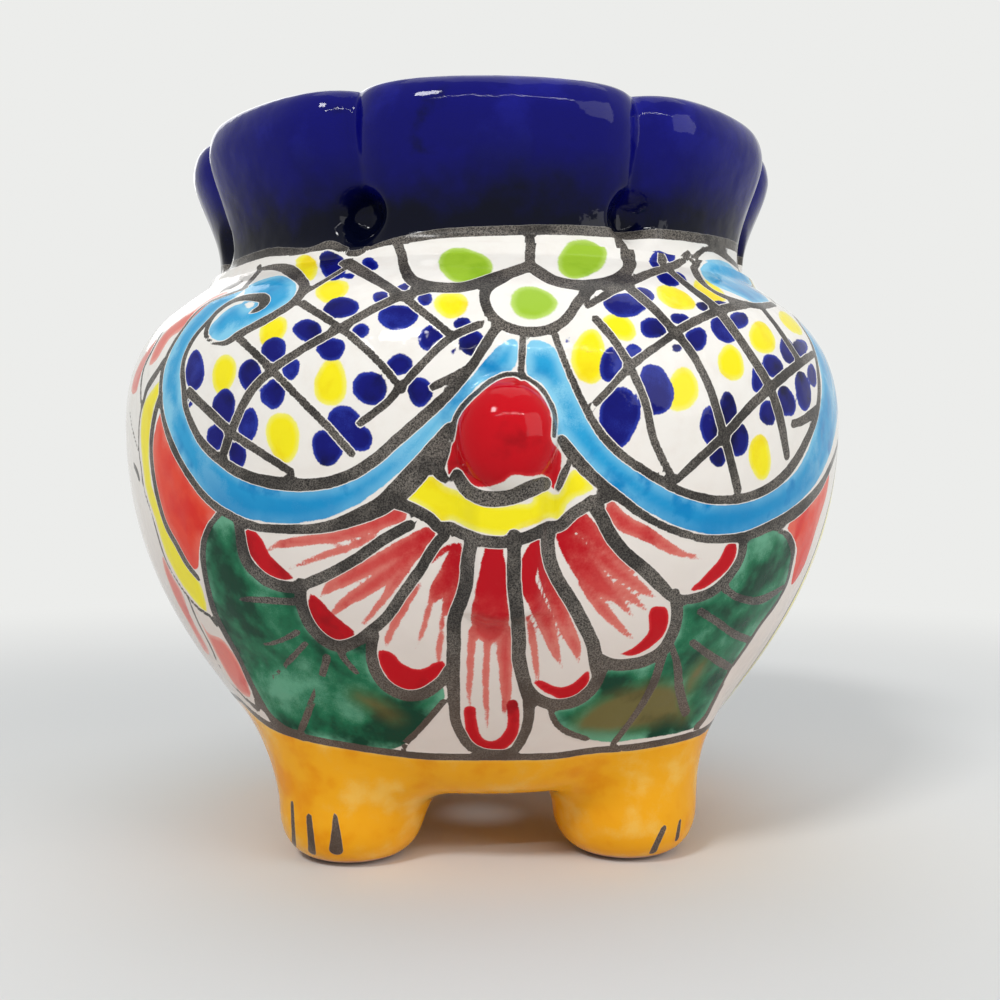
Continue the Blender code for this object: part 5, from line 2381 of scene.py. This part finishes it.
# The head's side isn't seen in the frame: its marks are millimetres across and up from the
# head's middle, for the head's right half.
FACE = (
    *strokes(Paint.INK, 0.9, """
5.6,4.2 8.4,7.2 12,7.6 15.4,5.0 13.4,2.0 9.4,1.0 5.6,4.2 /
6.4,8.8,0.5 9.6,11.0,0.9 13.6,10.8,0.9 16.6,8.4,0.5 /
15.4,5.0,0.7 18.0,6.6,0.3 /
14.6,2.6,0.7 17.4,2.2,0.3
"""),
    *dabs(Paint.INK, "10.6,4.4,1.3,1.7"),
    *dabs(Paint.COBALT, "10.6,4.4,2.7,2.9"),
    *dabs(Paint.PINK, "15.0,-4.6,3.4,2.6"),
    *dabs(Paint.LIME, "4.6,20.6,1.7,1.1 17.6,14.0,1.2,1.6"),
    *dabs(Paint.CORAL, "0,18.4,1.5,2.2 3.1,16.0,2.1,1.4,20 2.2,12.2,1.5,2.2,-40 0,10.6,1.3,2.0"),
    *dabs(Paint.YELLOW, "0,14.6,2.0,1.9"),
)
EAR = (
    *strokes(Paint.STREAK, 2.4, """
0,-9,1.6 0,-2,3.2 0,7,1.0 /
4.5,-8,1.4 6.0,-1,2.8 7.5,6,0.8 /
-4.5,-8,1.4 -6.0,-1,2.8 -7.5,6,0.8
"""),
    *fills(Paint.RED, "-4.2,9.4 -1.8,11.6 1.8,11.6 4.2,9.4 1.6,10.0 -1.6,10.0"),
)


@dataclass
class Painter:
    """Lays the painting on every piece."""

    canvas: Canvas
    head: Head
    ears: Ears
    rim_inside: float = 9.0
    head_line: float = 2.4
    trunk_line: float = 1.3
    line_half: float = 0.5
    ring_gap: float = 4.6
    ring_half: float = 0.45
    nostril_spread: float = 1.7
    nostril_radius: float = 0.9
    rim: float = 5.0
    dish_line: float = 5.2
    dish_band: float = 6.6

    def blank(self, count: int) -> np.ndarray:
        """No paint anywhere."""
        return np.full((count, len(Paint)), self.canvas.reach)

    def on_vessel(self, points: Points) -> np.ndarray:
        """The vessel's painting at points on it."""
        return self.canvas.fields(self.canvas.chart.flat(points))

    def belly(self, piece: bpy.types.Object) -> None:
        """Paints the belly; its hollow stays bare clay.

        Args:
            piece: the belly.
        """
        points = points_of(piece)
        hollow = VESSEL.distance(points) < -1.2
        fields = self.on_vessel(points)
        fields[hollow] = self.canvas.reach
        coat(piece, fields, hollow.astype(float))

    def collar(self, piece: bpy.types.Object) -> None:
        """Paints the collar, over its lip and a little way down inside.

        Args:
            piece: the collar.
        """
        points = points_of(piece)
        fields = self.on_vessel(points)
        inside = inward(piece)
        hollow = inside > 0.5
        fields[hollow] = self.canvas.reach
        fields[hollow, Paint.COLLAR.value] = -self.canvas.reach
        angle = np.arctan2(points[:, 0], points[:, 1])
        end = POT.crest - self.rim_inside + 1.1 * np.sin(3 * angle) + 0.7 * np.sin(7 * angle + 1.0)
        bare = inside * (1 - ramp(points[:, 2], end - 0.7, end + 0.7))
        coat(piece, fields, bare)

    def feet(self, pieces: dict[str, bpy.types.Object], skins: list[Skin]) -> None:
        """Paints the feet amber up to the belly's base line, with toes, and leaves soles bare.

        Args:
            pieces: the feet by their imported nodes' names.
            skins: their forms.
        """

        def form(points: Points) -> np.ndarray:
            """The distance to the feet and the vessel together."""
            return np.min([skin.joined(points) for skin in skins], axis=0)

        eye = self.canvas.eye
        toes = []
        for mark in TOES:
            line = curved(numbers_in(mark.points, mark.width), mark.closed)
            places = eye.cast(line[:, :2], form)
            half = line[:, 2] / 2 * eye.depth(places) / eye.focal
            toes += [Tube(places, half), Tube(places * (1.0, -1.0, 1.0), half)]
        for piece in pieces.values():
            points = points_of(piece)
            fields = self.on_vessel(points)
            put(fields, Paint.INK, np.min([toe.distance(points) for toe in toes], axis=0))
            coat(piece, fields, 1 - ramp(points[:, 2], 0.3, 2.0))

    def tail(self, piece: bpy.types.Object) -> None:
        """Paints the tail as part of the painting round it."""
        fields = self.canvas.through_eye(points_of(piece))
        coat(piece, fields, np.zeros(len(fields)))

    def flat_marks(self, marks: tuple[Mark, ...], flat: Points) -> np.ndarray:
        """The distances from marks given in millimetres, the same on both halves.

        Args:
            marks: the marks of the right half.
            flat: across, up and 1 for each point.

        Returns:
            A row for each point, with a distance for each paint.
        """
        found = self.blank(len(flat))
        for mark in marks:
            line = curved(numbers_in(mark.points, mark.width), mark.closed, step=0.5)
            for side in (-1.0, 1.0):
                shape = Shape(mark.paint, line[:, :2] * (side, 1.0), line[:, 2] / 2, mark.closed)
                put(found, mark.paint, shape.distance(flat))
        return found

    def on_head(self, points: Points) -> np.ndarray:
        """The painting at points on the head or the vessel round it.

        Args:
            points: one point a row.

        Returns:
            A row for each point, with a distance for each paint.
        """
        middle = self.head.centre[2]
        flat = np.stack([points[:, 0], points[:, 2] - middle, np.ones(len(points))], axis=1)
        fields = self.flat_marks(FACE, flat)
        own = self.head.ball.distance(points)
        fields[:, Paint.SKY.value] = np.minimum(np.abs(own - 1.2) - 0.7, self.canvas.reach)
        around = own > self.head_line
        fields[around] = self.on_vessel(points[around])
        put(fields, Paint.INK, np.abs(own - self.head_line) - self.line_half)
        return fields

    def face(self, piece: bpy.types.Object) -> None:
        """Paints the head with eyes, cheeks and a flower."""
        points = points_of(piece)
        coat(piece, self.on_head(points), np.zeros(len(points)))

    def trunk(self, piece: bpy.types.Object) -> None:
        """Paints the trunk sky blue with ink rings, and two nostrils at its tip.

        Args:
            piece: the trunk.
        """
        points = points_of(piece)
        tube = self.head.trunk_tube()
        own = tube.distance(points)
        along = tube.along(points)
        fields = self.blank(len(points))
        fields[:, Paint.SKY.value] = -self.canvas.reach
        half_gap = self.ring_gap / 2
        ring = np.abs((along + half_gap) % self.ring_gap - half_gap) - self.ring_half
        fields[:, Paint.INK.value] = ring
        tip = tube.path[-1] + unit(tube.path[-1:] - tube.path[-2:-1])[0] * tube.radii[-1]
        for side in (-self.nostril_spread, self.nostril_spread):
            away = np.linalg.norm(points - tip - (side, 0.0, 0.0), axis=1)
            put(fields, Paint.INK, away - self.nostril_radius)
        around = own > self.trunk_line
        fields[around] = self.on_head(points[around])
        put(fields, Paint.INK, np.abs(own - self.trunk_line) - self.line_half * 0.8)
        coat(piece, fields, np.zeros(len(points)))

    def ear(self, piece: bpy.types.Object, side: int) -> None:
        """Paints an ear with a blue rim and petals in its dish.

        Args:
            piece: the ear.
            side: below zero on the left, above it on the right.
        """
        points = points_of(piece)
        angle = np.arctan2(points[:, 0], points[:, 1]) - side * self.ears.angle
        up = (points[:, 2] - POT.waist + self.ears.drop) / self.ears.half_height
        width = self.ears.half_width * (1 + self.ears.taper * np.clip(up, -1.2, 1.2))
        across = angle * POT.belly_radius / width
        size = (self.ears.half_width + self.ears.half_height) / 2
        inner = (1 - np.hypot(across, up)) * size
        height = up * self.ears.half_height
        flat = np.stack([angle * POT.belly_radius, height, np.ones(len(up))], axis=1)
        fields = self.flat_marks(EAR, flat)
        fields[:, Paint.SKY.value] = inner - self.rim
        fields[:, Paint.YELLOW.value] = np.abs(inner - self.dish_band) - 0.7
        put(fields, Paint.INK, np.abs(inner - self.dish_line) - 0.4)
        put(fields, Paint.INK, np.abs(inner + 0.4) - 0.5)
        coat(piece, fields, np.zeros(len(points)))


@dataclass(frozen=True)
class Ivory:
    """Glazed cream tusks, browner in clouds and fine grain."""

    name: str = "ivory_glaze"
    pale: tuple = srgb(244, 236, 214)
    warm: tuple = srgb(232, 210, 168)
    brown: tuple = srgb(206, 178, 136)

    def build(self, effects: Effects) -> bpy.types.Material:
        """Builds the material from the shared node groups.

        Args:
            effects: the shared node groups.

        Returns:
            The material.
        """
        material, tree, shader = new_material(self.name)
        surface = Surface(tree, effects)
        waver = surface.waver
        colour = tree.layer(tree.step(waver["Cloud"], 0.35, 0.7), self.pale, self.warm)
        fine = tree.times(tree.step(waver["Grain"], 0.5, 0.8), 0.35)
        tree.feed(shader.inputs["Base Color"], tree.layer(fine, colour, self.brown))
        tree.feed(shader.inputs["Roughness"], tree.step(waver["Cloud"], 0.3, 0.8, 0.12, 0.3))
        tree.feed(shader.inputs["Normal"], surface.relief(0.0, 0.0))
        return material


@dataclass(frozen=True)
class Lamp:
    """One soft rectangular lamp, its lengths in metres and its power in watts."""

    name: str
    place_m: tuple[float, float, float]
    size_m: tuple[float, float]
    power: float

    def hang(self, target_m: tuple[float, float, float]) -> None:
        """Hangs the lamp, aimed at a point.

        Args:
            target_m: the point, in metres.
        """
        deselect_all()
        bpy.ops.object.light_add(type="AREA", location=self.place_m)
        lamp = bpy.context.object
        lamp.name = self.name
        lamp.data.shape = "RECTANGLE"
        lamp.data.size, lamp.data.size_y = self.size_m
        lamp.data.energy = self.power
        way = Vector(target_m) - Vector(self.place_m)
        lamp.rotation_euler = way.to_track_quat("-Z", "Y").to_euler()


LAMPS = (
    Lamp("key", (-0.45, -0.75, 0.85), (0.22, 0.15), 5.4),
    Lamp("fill", (0.8, -0.6, 0.4), (0.6, 0.6), 3.2),
    Lamp("top", (0.1, 0.1, 1.1), (0.9, 0.9), 3.2),
    Lamp("back", (-0.2, 0.9, 0.6), (0.8, 0.6), 2.0),
    Lamp("strip", (0.1, -0.8, 0.62), (0.9, 0.01), 1.5),
)


@dataclass
class Studio:
    """A plain pale floor and backdrop with soft lamps; lengths are in metres."""

    floor_size: float = 4.0
    pale: tuple[float, float, float, float] = (0.84, 0.845, 0.83, 1.0)
    lit_floor: tuple[float, float, float, float] = (0.74, 0.745, 0.735, 1.0)
    floor_fade: tuple[float, float] = (0.12, 0.42)
    ambient: float = 0.28
    sky: tuple[float, float, float, float] = (0.92, 0.96, 1.0, 1.0)
    aim_rise: float = 0.07

    def looked_at(self, tree: Tree) -> Socket:
        """Whether a ray comes from the camera, a reflection or through glass."""
        rays = tree.add("LightPath").outputs
        mirrored = tree.math("MAXIMUM", rays["Is Glossy Ray"], rays["Is Transmission Ray"])
        return tree.math("MAXIMUM", rays["Is Camera Ray"], mirrored)

    def build_floor(self) -> None:
        """The floor on which the planter stands."""
        deselect_all()
        bpy.ops.mesh.primitive_plane_add(size=self.floor_size)
        floor = bpy.context.object
        floor.name = "floor"
        material, tree, shader = new_material("pale_floor")
        shader.inputs["Base Color"].default_value = self.lit_floor
        shader.inputs["Roughness"].default_value = 0.9
        shader.inputs["Specular IOR Level"].default_value = 0.1
        glow = tree.add("Emission", {"Color": self.pale, "Strength": 1.0})
        far = tree.vector("LENGTH", tree.add("TexCoord").outputs["Object"])
        share = tree.step(far.outputs["Value"], *self.floor_fade)
        seen = tree.times(share, self.looked_at(tree))
        mixed = tree.add("MixShader", {0: seen, 1: shader.outputs[0], 2: glow.outputs[0]})
        output = material.node_tree.nodes["Material Output"]
        tree.feed(output.inputs["Surface"], mixed.outputs[0])
        floor.data.materials.append(material)

    def build_world(self) -> None:
        """A pale surround that lights the planter softly and fills the background."""
        world = bpy.context.scene.world or bpy.data.worlds.new("surround")
        bpy.context.scene.world = world
        world.use_nodes = True
        tree = Tree(world.node_tree)
        world.node_tree.nodes.clear()
        ambient = tree.add("Background", {"Color": self.sky, "Strength": self.ambient})
        seen = tree.add("Background", {"Color": self.pale, "Strength": 1.0})
        inputs = {0: self.looked_at(tree), 1: ambient.outputs[0], 2: seen.outputs[0]}
        mixed = tree.add("MixShader", inputs)
        tree.add("OutputWorld", {"Surface": mixed.outputs[0]})

    def build(self) -> None:
        """Floor, surround and lamps, shown plainly."""
        bpy.context.scene.view_settings.view_transform = "Standard"
        self.build_floor()
        self.build_world()
        for lamp in LAMPS:
            lamp.hang((0.0, AXIS_Y * MM, self.aim_rise))


def dress(piece: bpy.types.Object, node: str, finish: bpy.types.Material) -> None:
    """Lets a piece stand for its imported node, ride on the pot and take its finish.

    Args:
        piece: the piece.
        node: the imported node's name.
        finish: its material.
    """
    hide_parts(node)
    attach(piece, BODY)
    piece.data.materials.clear()
    piece.data.materials.append(finish)
    mesh = piece.data
    LOG.info("%s: %d vertices, %d faces", piece.name, len(mesh.vertices), len(mesh.polygons))


def main() -> None:
    """Builds the planter's sub-assemblies in order and reports each piece."""
    logging.basicConfig(level=logging.INFO, format="%(asctime)s %(message)s")
    clear_stage()
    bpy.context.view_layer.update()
    eye, head = Eye(), Head()
    eye.build()
    ears = Ears(head)
    painter = Painter(Canvas(eye), head, ears)
    effects = Effects()
    white = PaintedGlaze("painted_white_glaze", VESSEL_PAINTS).build(effects)
    LOG.info("canvas and glazes are ready")

    belly = Belly().build()
    painter.belly(belly)
    dress(belly, "body_shell", white)
    collar = Collar().build()
    painter.collar(collar)
    dress(collar, "rim_collar", white)
    feet, skins = Feet().build()
    painter.feet(feet, skins)
    for node, piece in feet.items():
        dress(piece, node, white)
    tail = Tail().build()
    painter.tail(tail)
    dress(tail, "tail", white)
    face = head.build_head()
    painter.face(face)
    dress(face, "head", white)
    trunk = head.build_trunk()
    painter.trunk(trunk)
    dress(trunk, "trunk", white)
    ivory = Ivory().build(effects)
    for side in (-1, 1):
        dress(head.build_tusk(side), f"tusk_{side_name(side)}", ivory)
        ear = ears.build_ear(side)
        painter.ear(ear, side)
        dress(ear, f"ear_{side_name(side)}", white)
    Studio().build()


if __name__ == "__main__":
    main()
